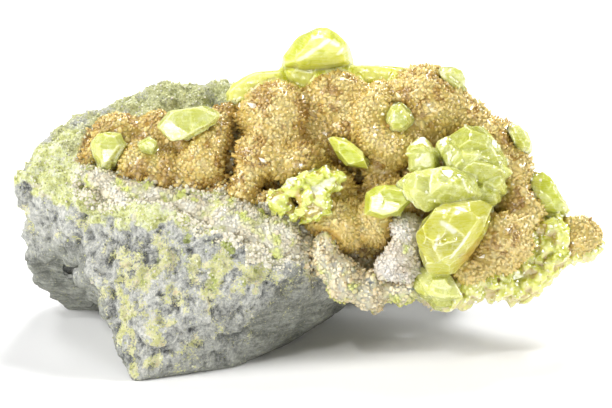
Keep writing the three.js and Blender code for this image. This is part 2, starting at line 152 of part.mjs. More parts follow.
    [[36.7, -9.5, 27.3], [37.1, -9.3, 27.9], [37.6, -9.1, 28.3], [38.5, -9, 27.6], [39.2, -9.5, 26.2], [39.9, -9.4, 25.5], [40.8, -9.7, 23.9], [39.9, -10.1, 23.1], [38.8, -10, 23], [37.4, -10.1, 23.5], [36.5, -9.9, 24.8], [36.1, -6.6, 27.5], [36.4, -6.5, 28.3], [37.5, -6.3, 28.7], [38.8, -6.4, 27.6], [40, -6.6, 25.9], [40.9, -6.8, 24.3], [42.2, -7, 22.1], [41.2, -7.4, 20.8], [39.2, -7.7, 20.9], [37, -7.7, 21.5], [35.9, -7.6, 23.6], [37.1, -2.9, 25.6], [37.5, -2.7, 26], [38.2, -2.7, 26.3], [39.2, -2.6, 25.5], [40, -2.8, 24.4], [40.5, -3, 23.3], [41.3, -3.3, 21.5], [40.8, -3.5, 20.7], [39.5, -3.6, 20.6], [37.8, -3.8, 21.2], [37.1, -3.3, 22.6]],
  ],
  sulfur_crest_crystal: [
    [[21.8, -1.6, 43.4], [22.7, -1.6, 43.8], [23.4, -1.4, 43.9], [24.3, -1.4, 43.3], [24.7, -1.4, 42.4], [24.8, -1.4, 41], [23.8, -1.3, 41], [22.4, -1.4, 42], [21.3, 0.2, 43.3], [22.4, 0.3, 44.1], [23.5, 0.1, 44.1], [24.8, 0.1, 43.3], [25.5, 0.4, 41.7], [25.3, 0.6, 40], [23.9, 0.5, 39.8], [22.1, 0.4, 41.1], [22.3, 3.6, 42.2], [23.1, 3.6, 42.6], [23.7, 3.4, 42.6], [24.5, 3.6, 41.9], [24.9, 3.8, 41], [25, 3.6, 39.8], [24.1, 3.8, 39.8], [22.6, 3.7, 40.6]],
  ],
  sulfur_shoulder_crystal: [
    [[32.8, -5.3, 35.3], [34, -5.2, 35.4], [34.5, -5.4, 34.8], [35.1, -5.5, 34], [35.3, -6.1, 32.8], [34.5, -6.2, 32.4], [33.8, -5.7, 33.2], [32.4, -3.8, 35.4], [33.9, -3.8, 35.5], [34.7, -4.1, 34.4], [35.5, -4.3, 33.4], [36, -4.7, 31.9], [35, -4.8, 31.2], [33.6, -4.5, 32.2], [33.2, -1.3, 34.1], [34.3, -1.2, 34.1], [35, -1.3, 33.4], [35.5, -1.7, 32.6], [35.7, -2, 31.5], [34.9, -2.1, 30.9], [33.8, -1.7, 31.9]],
  ],
  sulfur_ledge: [
    [[20.7, -18.5, 12.8], [22.1, -17.8, 15.2], [24.7, -17.7, 15.9], [27, -17.8, 15.2], [27.3, -18.6, 12.1], [25.1, -18.8, 10.9], [22.5, -19.1, 10.2], [21.3, -19, 11.5], [20.2, -16.1, 12.1], [21.7, -15.4, 14.8], [25, -14.9, 15.7], [28.1, -15.4, 14.7], [28.3, -16.2, 11], [25.8, -16.5, 9.6], [22.2, -16.8, 8.8], [20.7, -16.5, 10], [21.3, -11.5, 10.4], [22.6, -10.9, 12.4], [25, -10.6, 13.1], [27, -11, 12.2], [27.1, -11.5, 9.9], [25.5, -12, 8.8], [22.9, -11.9, 8.2], [22, -11.7, 9]],
    [[27, -17.2, 14.9], [29.6, -16.7, 16], [31.8, -17.1, 15.2], [32.5, -17.6, 13.1], [31, -18, 11.6], [28.5, -18, 11.5], [27.1, -17.8, 12.7], [26.5, -14.3, 14.3], [30, -14, 15.5], [32.3, -14.1, 14.8], [33.8, -14.9, 12], [31.9, -15.5, 10], [28.4, -15.4, 10], [26.4, -15, 11.2], [27.7, -9.6, 12], [30.1, -9.5, 13], [32, -9.5, 12.3], [32.8, -10.1, 10.6], [31.6, -10.3, 8.9], [29.2, -10.5, 8.9], [27.9, -10.1, 10]],
    [[31.1, -15.3, 15.6], [34.7, -15.3, 15.8], [36.9, -15.6, 14.6], [37.1, -16, 13.4], [36.2, -16.2, 11.8], [34.4, -16.5, 10.8], [32.2, -16.8, 10.6], [31, -16.1, 12.4], [30.6, -12.5, 15.5], [34.9, -12.6, 15.6], [38, -12.9, 14.4], [38.2, -13.4, 12.5], [37, -13.7, 10.6], [34.6, -14.2, 9.1], [32, -14.3, 8.9], [30.4, -13.7, 11.3], [32.2, -8, 12.8], [35.2, -8, 12.8], [37.4, -8.1, 11.8], [37.5, -8.4, 10.7], [36.7, -8.9, 9.4], [35.1, -9.2, 8.1], [32.9, -9, 8], [32, -8.8, 9.7]],
    [[33.9, -14.2, 17.6], [36, -14.1, 17.8], [38.2, -14.3, 17.6], [40, -14.2, 16.9], [39.8, -14.8, 15.5], [39, -15.1, 14.7], [37.6, -15.3, 13.6], [35.5, -15, 13.9], [34, -14.6, 15.3], [33.1, -11.4, 17.2], [35.9, -11.3, 17.7], [38.7, -11.3, 17.5], [41.1, -11.8, 16.3], [41, -12.1, 14.3], [39.9, -12.4, 13.3], [38, -12.8, 12], [35.5, -12.6, 12.5], [33.3, -12, 14.2], [34.7, -6.8, 14.7], [36.9, -6.6, 15.3], [39, -6.7, 14.9], [40.3, -6.9, 14.3], [40.4, -7.4, 12.8], [39.4, -7.4, 12], [38.1, -7.6, 11.3], [36.5, -7.6, 11.6], [34.8, -7.4, 12.8]],
    [[34.8, -13, 20.7], [37.1, -12.8, 22], [39.5, -12.8, 21.9], [41, -13.2, 20.6], [41.5, -13.5, 18.8], [41.3, -13.9, 17.1], [39, -14.1, 16.8], [36.4, -14, 17.3], [35.2, -13.4, 18.6], [33.7, -10.2, 20.4], [36.9, -9.7, 22.3], [40.2, -9.8, 22], [42.1, -10.3, 20.1], [42.9, -10.9, 17.8], [42.7, -11.5, 15.2], [39.5, -11.7, 14.8], [35.7, -11.4, 15.7], [34.1, -11.1, 17.6], [35.8, -5.5, 18], [38, -5.2, 19.5], [40.1, -5.3, 19.2], [41.6, -5.7, 18.1], [42.1, -6, 16.2], [41.9, -6.5, 14.6], [39.7, -6.4, 14.3], [37.1, -6.3, 14.9], [35.8, -6.2, 16.4]],
    [[41.5, -10.5, 18.1], [43.9, -10.8, 17.4], [46, -10.2, 18.4], [46.1, -10.6, 17.8], [45.9, -10.9, 17], [44.8, -10.9, 16], [43.1, -11, 15.5], [41.3, -11.2, 15.4], [40.8, -8.1, 17.6], [43.8, -8.4, 16.8], [46.7, -8.1, 18.3], [47.1, -8.3, 17.3], [46.5, -8.6, 16.2], [45.2, -9, 14.7], [43.2, -9, 14.3], [40.6, -9.1, 14.2], [42.2, -4.1, 15.9], [44.5, -4.2, 15], [46.5, -4, 16.1], [46.9, -4.2, 15.3], [46.5, -4.4, 14.6], [45.5, -4.4, 13.6], [44, -4.8, 13.5], [42.2, -4.8, 13.3]],
  ],
};

// Colour, roughness and metalness of each mineral.
const MINERALS = {
  limestone: { color: 0x8d9094, roughness: 0.92, metalness: 0 },
  honey_calcite: { color: 0xb98d45, roughness: 0.35, metalness: 0 },
  pale_calcite: { color: 0xdccdb4, roughness: 0.5, metalness: 0 },
  sulfur: { color: 0xdde35a, roughness: 0.28, metalness: 0 },
};

// The bodies, in the order in which they are seated: each one is cut back from all those above it.
const BODIES = [
  ["sulfur_dome_crystal", "sulfur"],
  ["sulfur_slab_crystal", "sulfur"],
  ["sulfur_left_plate_crystal", "sulfur"],
  ["sulfur_left_small_crystal", "sulfur"],
  ["sulfur_left_bead_crystal", "sulfur"],
  ["sulfur_lens_crystal", "sulfur"],
  ["sulfur_recess_crystal", "sulfur"],
  ["sulfur_centre_cluster", "sulfur"],
  ["sulfur_mid_crystal", "sulfur"],
  ["sulfur_front_crystal", "sulfur"],
  ["sulfur_lower_crystal", "sulfur"],
  ["sulfur_right_cluster", "sulfur"],
  ["sulfur_edge_crystal", "sulfur"],
  ["sulfur_crest_crystal", "sulfur"],
  ["sulfur_shoulder_crystal", "sulfur"],
  ["honey_druse_tip", "honey_calcite"],
  ["honey_druse_right", "honey_calcite"],
  ["honey_druse_centre", "honey_calcite"],
  ["honey_druse_left", "honey_calcite"],
  ["white_calcite_knob", "pale_calcite"],
  ["sulfur_ledge", "sulfur"],
  ["peach_calcite_ledge", "pale_calcite"],
  ["pale_calcite_band", "pale_calcite"],
  ["matrix_rock", "limestone"],
];

const wasm = await Module();
wasm.setup();

// A closed triangle surface as a solid.
function solidOf(geometry) {
  const bare = geometry.clone();
  bare.deleteAttribute("normal");
  bare.deleteAttribute("uv");
  const merged = mergeVertices(bare, 1e-4);
  return new wasm.Manifold(
    new wasm.Mesh({
      numProp: 3,
      vertProperties: new Float32Array(merged.attributes.position.array),
      triVerts: new Uint32Array(merged.index.array),
    }),
  );
}

// A solid as a triangle surface.
function geometryOf(solid) {
  const mesh = solid.getMesh();
  const positions = new Float32Array(mesh.numVert * 3);
  for (let i = 0; i < mesh.numVert; i++)
    positions.set(
      mesh.vertProperties.subarray(i * mesh.numProp, i * mesh.numProp + 3),
      i * 3,
    );
  const geometry = new THREE.BufferGeometry()
    .setAttribute("position", new THREE.BufferAttribute(positions, 3))
    .setIndex(new THREE.BufferAttribute(new Uint32Array(mesh.triVerts), 1));
  geometry.computeVertexNormals();
  return geometry;
}

// A convex block with these corners. grow moves every face out by at least that much: each corner goes
// out along the mean normal of its own faces.
function block(corners, grow = 0) {
  const hull = new ConvexGeometry(
    corners.map(([x, y, z]) => new THREE.Vector3(x, y, z)),
  );
  if (!grow) return solidOf(hull);
  hull.deleteAttribute("normal");
  hull.deleteAttribute("uv");
  const merged = mergeVertices(hull, 1e-4);
  const place = merged.attributes.position;
  const faces = merged.index.array;
  const normals = Array.from({ length: place.count }, () => []);
  const corner = (i) => new THREE.Vector3().fromBufferAttribute(place, i);
  for (let i = 0; i < faces.length; i += 3) {
    const [a, b, c] = [faces[i], faces[i + 1], faces[i + 2]];
    const normal = new THREE.Triangle(corner(a), corner(b), corner(c)).getNormal(
      new THREE.Vector3(),
    );
    for (const v of [a, b, c])
      if (!normals[v].some((other) => other.dot(normal) > 0.995))
        normals[v].push(normal);
  }
  const moved = normals.map((own, i) => {
    const way = own
      .reduce((sum, n) => sum.add(n), new THREE.Vector3())
      .normalize();
    const slope = Math.max(SHARPEST, Math.min(...own.map((n) => n.dot(way))));
    return corner(i).addScaledVector(way, grow / slope);
  });
  return solidOf(new ConvexGeometry(moved));
}

// A knobbly ball of calcite: an ellipsoid with low waves on its surface.
function ball({ at, radii, seed, detail }, grow = 0) {
  const geometry = new THREE.IcosahedronGeometry(1, detail);
  const place = geometry.attributes.position;
  const d = new THREE.Vector3();
  for (let i = 0; i < place.count; i++) {
    d.fromBufferAttribute(place, i).normalize();
    const wave =
      Math.sin(3.1 * d.x + 1.7 * seed) * Math.cos(2.7 * d.y - 0.9 * seed) +
      0.7 * Math.sin(4.3 * d.z + 2.3 * seed + 2.1 * d.x) +
      0.5 * Math.cos(5.9 * d.y + 3.7 * d.z + 1.1 * seed);
    const share = 1 + BALL_LUMPS * 0.55 * wave;
    place.setXYZ(
      i,
      at[0] + d.x * (radii[0] * share + grow),
      at[1] + d.y * (radii[1] * share + grow),
      at[2] + d.z * (radii[2] * share + grow),
    );
  }
  return solidOf(geometry);
}

function union(solids) {
  return solids.reduce((a, b) => a.add(b));
}

// Cutting can leave loose crumbs; the body is the largest piece.
function largest(solid) {
  return solid.decompose().reduce((a, b) => (b.volume() > a.volume() ? b : a));
}

function rawBody(name, grow) {
  if (name in CRYSTALS)
    return union(CRYSTALS[name].map((corners) => block(corners, grow)));
  if (name in DRUSE_BALLS)
    return union(DRUSE_BALLS[name].map((one) => ball(one, grow)));
  const stone = union(Object.values(ROCK_LUMPS).map((corners) => block(corners)));
  const notches = Object.values(ROCK_NOTCHES).map((corners) => block(corners));
  return union([stone]).subtract(union(notches));
}

const below = solidOf(
  new THREE.BoxGeometry(FLOOR_BLOCK, FLOOR_BLOCK, FLOOR_BLOCK).translate(
    0,
    0,
    -FLOOR_BLOCK / 2,
  ),
);

const specimen = new THREE.Group();
let seated = null;
for (const [name, mineral] of BODIES) {
  let solid = rawBody(name, 0);
  if (seated) solid = solid.subtract(seated);
  solid = largest(solid.subtract(below));
  const mesh = new THREE.Mesh(
    geometryOf(solid),
    new THREE.MeshStandardMaterial(MINERALS[mineral]),
  );
  mesh.name = name;
  specimen.add(mesh);
  if (name !== "matrix_rock") {
    const socket = rawBody(name, SOCKET_GAP);
    seated = seated ? seated.add(socket) : socket;
  }
}

export default specimen;
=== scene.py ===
# Native sulfur specimen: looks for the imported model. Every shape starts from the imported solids, in their own place.
import math

import bmesh
import bpy
import numpy as np
from mathutils import Matrix, Vector
from mathutils.bvhtree import BVHTree


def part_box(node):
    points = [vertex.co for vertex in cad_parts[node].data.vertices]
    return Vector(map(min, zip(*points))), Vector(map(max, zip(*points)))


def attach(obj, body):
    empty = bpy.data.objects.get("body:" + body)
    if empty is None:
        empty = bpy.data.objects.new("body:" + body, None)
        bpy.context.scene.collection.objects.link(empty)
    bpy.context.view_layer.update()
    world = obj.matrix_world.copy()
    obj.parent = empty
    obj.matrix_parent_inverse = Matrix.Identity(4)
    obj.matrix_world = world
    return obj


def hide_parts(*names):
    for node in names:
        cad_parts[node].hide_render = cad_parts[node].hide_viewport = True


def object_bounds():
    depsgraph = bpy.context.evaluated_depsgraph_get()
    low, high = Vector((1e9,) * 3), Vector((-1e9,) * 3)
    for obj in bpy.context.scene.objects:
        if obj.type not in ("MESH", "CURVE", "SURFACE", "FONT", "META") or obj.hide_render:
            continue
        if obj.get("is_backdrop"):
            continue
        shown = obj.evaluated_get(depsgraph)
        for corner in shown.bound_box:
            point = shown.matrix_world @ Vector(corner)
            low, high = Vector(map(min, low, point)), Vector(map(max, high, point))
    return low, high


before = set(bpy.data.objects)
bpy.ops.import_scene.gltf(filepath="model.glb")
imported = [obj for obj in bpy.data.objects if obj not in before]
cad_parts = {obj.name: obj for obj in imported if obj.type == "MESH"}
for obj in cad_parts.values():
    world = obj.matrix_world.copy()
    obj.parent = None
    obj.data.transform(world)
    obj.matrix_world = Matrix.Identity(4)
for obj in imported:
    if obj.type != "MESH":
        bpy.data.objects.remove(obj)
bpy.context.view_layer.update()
MM = 0.001
SULFUR_ALONE = [
    "sulfur_dome_crystal",
    "sulfur_slab_crystal",
    "sulfur_left_plate_crystal",
    "sulfur_left_small_crystal",
    "sulfur_left_bead_crystal",
    "sulfur_lens_crystal",
    "sulfur_recess_crystal",
    "sulfur_centre_cluster",
    "sulfur_mid_crystal",
    "sulfur_front_crystal",
    "sulfur_lower_crystal",
    "sulfur_right_cluster",
    "sulfur_edge_crystal",
    "sulfur_crest_crystal",
    "sulfur_shoulder_crystal",
]
HONEY = ["honey_druse_left", "honey_druse_centre", "honey_druse_right", "honey_druse_tip"]
PALE = ["pale_calcite_band", "peach_calcite_ledge", "white_calcite_knob"]
DRUSES = HONEY + PALE

# ---------------------------------------------------------------- noise

_table = np.random.default_rng(7)
_PERM = np.concatenate([_table.permutation(256)] * 3)
_GRAD = _table.normal(size=(256, 3))
_GRAD /= np.linalg.norm(_GRAD, axis=1, keepdims=True)


def noise(P, scale, seed=0):
    """Smooth gradient noise, about -0.6 to 0.6, with features of this size in mm."""
    Q = P / scale + np.array([17.13, 5.71, 9.37]) * (seed + 1)
    I = np.floor(Q).astype(np.int64)
    F = Q - I
    U = F * F * F * (F * (F * 6 - 15) + 10)
    out = np.zeros(len(P))
    for dx in (0, 1):
        for dy in (0, 1):
            for dz in (0, 1):
                h = _PERM[(I[:, 0] + dx) & 255]
                h = _PERM[h + ((I[:, 1] + dy) & 255)]
                h = _PERM[h + ((I[:, 2] + dz) & 255)]
                G = _GRAD[h]
                dot = G[:, 0] * (F[:, 0] - dx) + G[:, 1] * (F[:, 1] - dy) + G[:, 2] * (F[:, 2] - dz)
                w = (U[:, 0] if dx else 1 - U[:, 0]) * (U[:, 1] if dy else 1 - U[:, 1]) * (U[:, 2] if dz else 1 - U[:, 2])
                out += w * dot
    return out


def fractal(P, scale, octaves=3, seed=0):
    out = np.zeros(len(P))
    for o in range(octaves):
        out += noise(P, scale / 2**o, seed + 31 * o) / 2**o
    return out


def _hash(I, seed):
    h = (I[..., 0] * 73856093) ^ (I[..., 1] * 19349663) ^ (I[..., 2] * 83492791) ^ (seed * 2654435761)
    h = (h ^ (h >> 13)) * 1274126177
    return (h ^ (h >> 16)) & 0x7FFFFFFF


def facets(P, cell, seed=0, soft=0.12):
    """Height in mm of a surface broken into small tilted planes about this far apart, and a random number per plane."""
    Q = P / cell
    I = np.floor(Q).astype(np.int64)
    d1 = np.full(len(P), 1e9)
    d2 = np.full(len(P), 1e9)
    h1 = np.zeros(len(P))
    h2 = np.zeros(len(P))
    tag = np.zeros(len(P))
    for dx in (-1, 0, 1):
        for dy in (-1, 0, 1):
            for dz in (-1, 0, 1):
                C = I + np.array([dx, dy, dz])
                r = [(_hash(C, seed + k) % 9973) / 9973.0 for k in range(7)]
                c = C + np.stack(r[:3], 1) * 0.8 + 0.1
                D = Q - c
                d = np.sqrt((D * D).sum(1))
                tilt = np.stack(r[3:6], 1) - 0.5
                h = (D * tilt).sum(1) * 1.5 + (r[6] - 0.5) * 0.6
                near = d < d1
                d2 = np.where(near, d1, np.minimum(d2, d))
                h2 = np.where(near, h1, np.where(d <= d2, h, h2))
                h1 = np.where(near, h, h1)
                tag = np.where(near, r[6], tag)
                d1 = np.minimum(d1, d)
    w = np.clip((d2 - d1) / soft, 0, 1) * 0.5 + 0.5
    return (h1 * w + h2 * (1 - w)) * cell, tag


def zone(P, node, regions, grain=2.2, seed=5, soft=0.35):
    """0 to 1: inside broad oval regions, each (u, w, ru, rw) in shares of the node's packed length and height, broken up by noise."""
    lo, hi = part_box(node)
    u = (P[:, 0] * MM - lo.x) / (hi.x - lo.x)
    w = (P[:, 2] * MM - lo.z) / (hi.z - lo.z)
    wobble = 1.2 * noise(P, grain, seed) + 0.7 * noise(P, grain * 0.45, seed + 1)
    out = np.zeros(len(P))
    for cu, cw, ru, rw in regions:
        d = np.sqrt(((u - cu) / ru) ** 2 + ((w - cw) / rw) ** 2) + wobble
        out = np.maximum(out, np.clip((1 + soft - d) / (2 * soft), 0, 1))
    return out


# ---------------------------------------------------------------- meshes, in mm


def cad(name):
    """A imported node's vertices in mm, merged, and its triangles."""
    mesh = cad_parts[name].data
    mesh.calc_loop_triangles()
    co = np.zeros(len(mesh.vertices) * 3)
    mesh.vertices.foreach_get("co", co)
    tri = np.zeros(len(mesh.loop_triangles) * 3, np.int64)
    mesh.loop_triangles.foreach_get("vertices", tri)
    V = co.reshape(-1, 3) / MM
    keys, first, back = np.unique(np.round(V, 3), axis=0, return_index=True, return_inverse=True)
    T = back.reshape(-1)[tri].reshape(-1, 3)
    T = T[(T[:, 0] != T[:, 1]) & (T[:, 1] != T[:, 2]) & (T[:, 0] != T[:, 2])]
    return V[first], T


def new_mesh(name, V, faces):
    """faces: arrays of triangles and of quads."""
    me = bpy.data.meshes.new(name)
    loops = np.concatenate([f.reshape(-1) for f in faces]).astype(np.int32)
    sizes = np.concatenate([np.full(len(f), f.shape[1]) for f in faces]).astype(np.int32)
    me.vertices.add(len(V))
    me.vertices.foreach_set("co", (V * MM).astype(np.float32).reshape(-1))
    me.loops.add(len(loops))
    me.loops.foreach_set("vertex_index", loops)
    me.polygons.add(len(sizes))
    starts = np.concatenate([[0], np.cumsum(sizes)[:-1]]).astype(np.int32)
    me.polygons.foreach_set("loop_start", starts)
    me.update(calc_edges=True)
    me.validate()
    return me


def remesh(V, T, voxel):
    """The closed surface as even quads about this many mm across."""
    me = new_mesh("tmp", V, [T])
    ob = bpy.data.objects.new("tmp", me)
    bpy.context.scene.collection.objects.link(ob)
    mod = ob.modifiers.new("r", "REMESH")
    mod.mode = "VOXEL"
    mod.voxel_size = voxel * MM
    mod.adaptivity = 0
    got = ob.evaluated_get(bpy.context.evaluated_depsgraph_get())
    out = got.to_mesh()
    co = np.zeros(len(out.vertices) * 3)
    out.vertices.foreach_get("co", co)
    quads = np.zeros(len(out.loops), np.int64)
    out.loops.foreach_get("vertex_index", quads)
    got.to_mesh_clear()
    bpy.data.objects.remove(ob)
    bpy.data.meshes.remove(me)
    return co.reshape(-1, 3) / MM, quads.reshape(-1, 4)


def normals(V, Q):
    n = np.cross(V[Q[:, 2]] - V[Q[:, 0]], V[Q[:, 3]] - V[Q[:, 1]])
    out = np.zeros_like(V)
    for k in range(4):
        for a in range(3):
            out[:, a] += np.bincount(Q[:, k], n[:, a], len(V))
    return out / np.maximum(np.linalg.norm(out, axis=1, keepdims=True), 1e-12)


def smooth(V, Q, times, share=0.5):
    E = np.unique(np.sort(np.concatenate([Q[:, [0, 1]], Q[:, [1, 2]], Q[:, [2, 3]], Q[:, [3, 0]]]), 1), axis=0)
    deg = np.bincount(E.reshape(-1), minlength=len(V)).clip(1)
    for _ in range(times):
        S = np.zeros_like(V)
        for a in range(3):
            S[:, a] = np.bincount(E[:, 0], V[E[:, 1], a], len(V)) + np.bincount(E[:, 1], V[E[:, 0], a], len(V))
        V = V + (S / deg[:, None] - V) * share
    return V


def keep_largest(V, Q):
    """Drops loose inner shells: keeps the connected part with the most faces."""
    lab = np.arange(len(V))
    while True:
        m = lab[Q].min(1)
        new = lab.copy()
        for k in range(4):
            np.minimum.at(new, Q[:, k], m)
        new = new[new]
        if (new == lab).all():
            break
        lab = new
    counts = np.bincount(lab[Q[:, 0]], minlength=len(V))
    keep = lab[Q[:, 0]] == counts.argmax()
    Q = Q[keep]
    used = np.unique(Q)
    back = np.full(len(V), -1)
    back[used] = np.arange(len(used))
    return V[used], back[Q]


def spread(P, gap, seed, wanted=None):
    """Indices of points picked at random, none nearer than gap to another."""
    order = np.random.default_rng(seed).permutation(len(P))
    cells = {}
    picked = []
    g2 = gap * gap
    key = np.floor(P / gap).astype(int)
    for i in order:
        k = tuple(key[i])
        p = P[i]
        ok = True
        for dx in (-1, 0, 1):
            for dy in (-1, 0, 1):
                for dz in (-1, 0, 1):
                    for j in cells.get((k[0] + dx, k[1] + dy, k[2] + dz), ()):
                        q = P[j]
                        if (p[0] - q[0]) ** 2 + (p[1] - q[1]) ** 2 + (p[2] - q[2]) ** 2 < g2:
                            ok = False
                            break
                    if not ok:
                        break
                if not ok:
                    break
            if not ok:
                break
        if ok:
            cells.setdefault(k, []).append(i)
            picked.append(i)
            if wanted and len(picked) >= wanted:
                break
    return np.array(picked, int)


def frames(N, seed, tilt):
    """A right-handed frame per point, its third axis near N, turned at random about it."""
    r = np.random.default_rng(seed)
    W = N + r.normal(size=N.shape) * tilt
    W /= np.linalg.norm(W, axis=1, keepdims=True)
    A = r.normal(size=N.shape)
    U = np.cross(A, W)
    U /= np.linalg.norm(U, axis=1, keepdims=True)
    return U, np.cross(W, U), W


# A pointed calcite crystal: six sides that meet in a zigzag, then a blunt six-sided point.
def _calcite():
    v = [(0.0, 0.0, -0.7)]
    for k in range(6):
        a = k * math.pi / 3
        v.append((math.cos(a), math.sin(a), 0.1 if k % 2 else -0.16))
    v.append((0.0, 0.0, 1.0))
    f = []
    for k in range(6):
        n = (k + 1) % 6
        f += [(1 + k, 1 + n, 7), (1 + n, 1 + k, 0)]
    up = [0.0] + [0.35] * 6 + [1.0]
    return np.array(v), np.array(f), np.array(up)


# Sulfur's own crystal faces: two double pyramids, the domes and the end pair, for its axes 0.813 : 1 : 1.903.
def _faces():
    N, D = [], []
    for h, k, l, d in ((1, 1, 1, 0.92), (1, 1, 3, 0.98), (0, 1, 1, 1.0), (0, 0, 1, 1.05), (1, 1, 0, 1.08)):
        for sh in (1, -1) if h else (0,):
            for sk in (1, -1) if k else (0,):
                for sl in (1, -1) if l else (0,):
                    n = np.array([sh * h / 0.813, sk * k, sl * l / 1.903])
                    N.append(n / np.linalg.norm(n))
                    D.append(d)
    return np.array(N), np.array(D)


FACE_N, FACE_D = _faces()
_TRIPLES = np.array([(i, j, k) for i in range(len(FACE_N)) for j in range(i + 1, len(FACE_N)) for k in range(j + 1, len(FACE_N))])
_MATS = FACE_N[_TRIPLES]
_OK = np.abs(np.linalg.det(_MATS)) > 0.02
_TRIPLES = _TRIPLES[_OK]
_INV = np.linalg.inv(_MATS[_OK])


def crystal(r, vary=0.14, drop=0.3):
    """One blocky crystal of about unit radius: its corners and triangles. Faces are more or less grown at random."""
    d = FACE_D * (1 + r.uniform(-vary, vary, len(FACE_D)))
    d = np.where((np.arange(len(d)) > 7) & (r.random(len(d)) < drop), 5.0, d)
    P = np.einsum("nij,nj->ni", _INV, d[_TRIPLES])
    P = P[(P @ FACE_N.T <= d + 1e-7).all(1)]
    P = np.unique(np.round(P, 5), axis=0)
    F = []
    for n, dist in zip(FACE_N, d):
        on = np.where(np.abs(P @ n - dist) < 1e-4)[0]
        if len(on) < 3:
            continue
        c = P[on].mean(0)
        u = P[on[0]] - c
        u /= np.linalg.norm(u)
        w = np.cross(n, u)
        on = on[np.argsort(np.arctan2((P[on] - c) @ w, (P[on] - c) @ u))]
        F += [(on[0], on[k], on[k + 1]) for k in range(1, len(on) - 1)]
    return P, np.array(F)


# a small grain: an uneven eight-sided block
GRAIN = (
    np.array([(1, 0.1, 0), (-0.9, 0.15, 0.1), (0.1, 0.8, -0.1), (-0.1, -0.95, 0.1), (0.2, 0.1, 0.8), (-0.1, -0.1, -0.9)]),
    np.array([(0, 2, 4), (2, 1, 4), (1, 3, 4), (3, 0, 4), (2, 0, 5), (1, 2, 5), (3, 1, 5), (0, 3, 5)]),
    np.array([0.5, 0.5, 0.5, 0.5, 1.0, 0.0]),
)
CALCITE = _calcite()


def grow(shape, P, U, W, N, sizes, tones):
    """Copies of a crystal at P in the frames U, W, N, each with its (x, y, z) size in mm and its tone."""
    v, f, up = shape
    n = len(P)
    L = v[None] * sizes[:, None, :]
    V = P[:, None] + L[..., :1] * U[:, None] + L[..., 1:2] * W[:, None] + L[..., 2:] * N[:, None]
    F = f[None] + (np.arange(n) * len(v))[:, None, None]
    return V.reshape(-1, 3), F.reshape(-1, 3), np.tile(up, n), np.repeat(tones, len(v))


class Piece:
    """Collects mesh parts and their per-point numbers, then makes one object."""

    def __init__(self, name):
        self.name = name
        self.V = []
        self.tris = []
        self.quads = []
        self.slots_t = []
        self.slots_q = []
        self.sharp_t = []
        self.att = {}
        self.n = 0

    def add(self, V, F, slot=0, flat=False, **att):
        for k in set(self.att) | set(att):
            self.att.setdefault(k, [np.zeros(self.n)])
            self.att[k].append(np.broadcast_to(np.asarray(att.get(k, 0.0), float), (len(V),)))
        self.V.append(V)
        if F.shape[1] == 3:
            self.tris.append(F + self.n)
            self.slots_t.append(np.full(len(F), slot))
            self.sharp_t.append(np.full(len(F), flat))
        else:
            self.quads.append(F + self.n)
            self.slots_q.append(np.full(len(F), slot))
        self.n += len(V)

    def make(self, materials, node=None, slot=None):
        V = np.concatenate(self.V)
        V[:, 2] = np.maximum(V[:, 2], 0.0)
        T = np.concatenate(self.tris) if self.tris else np.zeros((0, 3), int)
        Q = np.concatenate(self.quads) if self.quads else np.zeros((0, 4), int)
        me = bpy.data.meshes.new(self.name)
        loops = np.concatenate([T.reshape(-1), Q.reshape(-1)]).astype(np.int32)
        sizes = np.concatenate([np.full(len(T), 3), np.full(len(Q), 4)]).astype(np.int32)
        me.vertices.add(len(V))
        me.vertices.foreach_set("co", (V * MM).astype(np.float32).reshape(-1))
        me.loops.add(len(loops))
        me.loops.foreach_set("vertex_index", loops)
        me.polygons.add(len(sizes))
        me.polygons.foreach_set("loop_start", np.concatenate([[0], np.cumsum(sizes)[:-1]]).astype(np.int32))
        slots = np.concatenate(self.slots_t + self.slots_q).astype(np.int32)
        flat = np.concatenate(self.sharp_t + [np.zeros(len(Q), bool)])
        me.polygons.foreach_set("material_index", slots)
        me.update(calc_edges=True)
        me.polygons.foreach_set("use_smooth", ~flat.astype(bool))
        for k, parts in self.att.items():
            a = me.attributes.new(k, "FLOAT", "POINT")
            a.data.foreach_set("value", np.concatenate(parts).astype(np.float32))
        for m in materials:
            me.materials.append(m)
        ob = bpy.data.objects.new(self.name, me)
        bpy.context.scene.collection.objects.link(ob)
        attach(ob, "root")
        if node:
            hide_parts(node)
        print(f"{self.name}: {len(T) + 2 * len(Q)} triangles")
        return ob


# ---------------------------------------------------------------- materials


def lin(r, g, b):
    """An sRGB colour, 0 to 255, as linear numbers."""
    return tuple(((c / 255 + 0.055) / 1.055) ** 2.4 if c > 10 else c / 255 / 12.92 for c in (r, g, b)) + (1.0,)


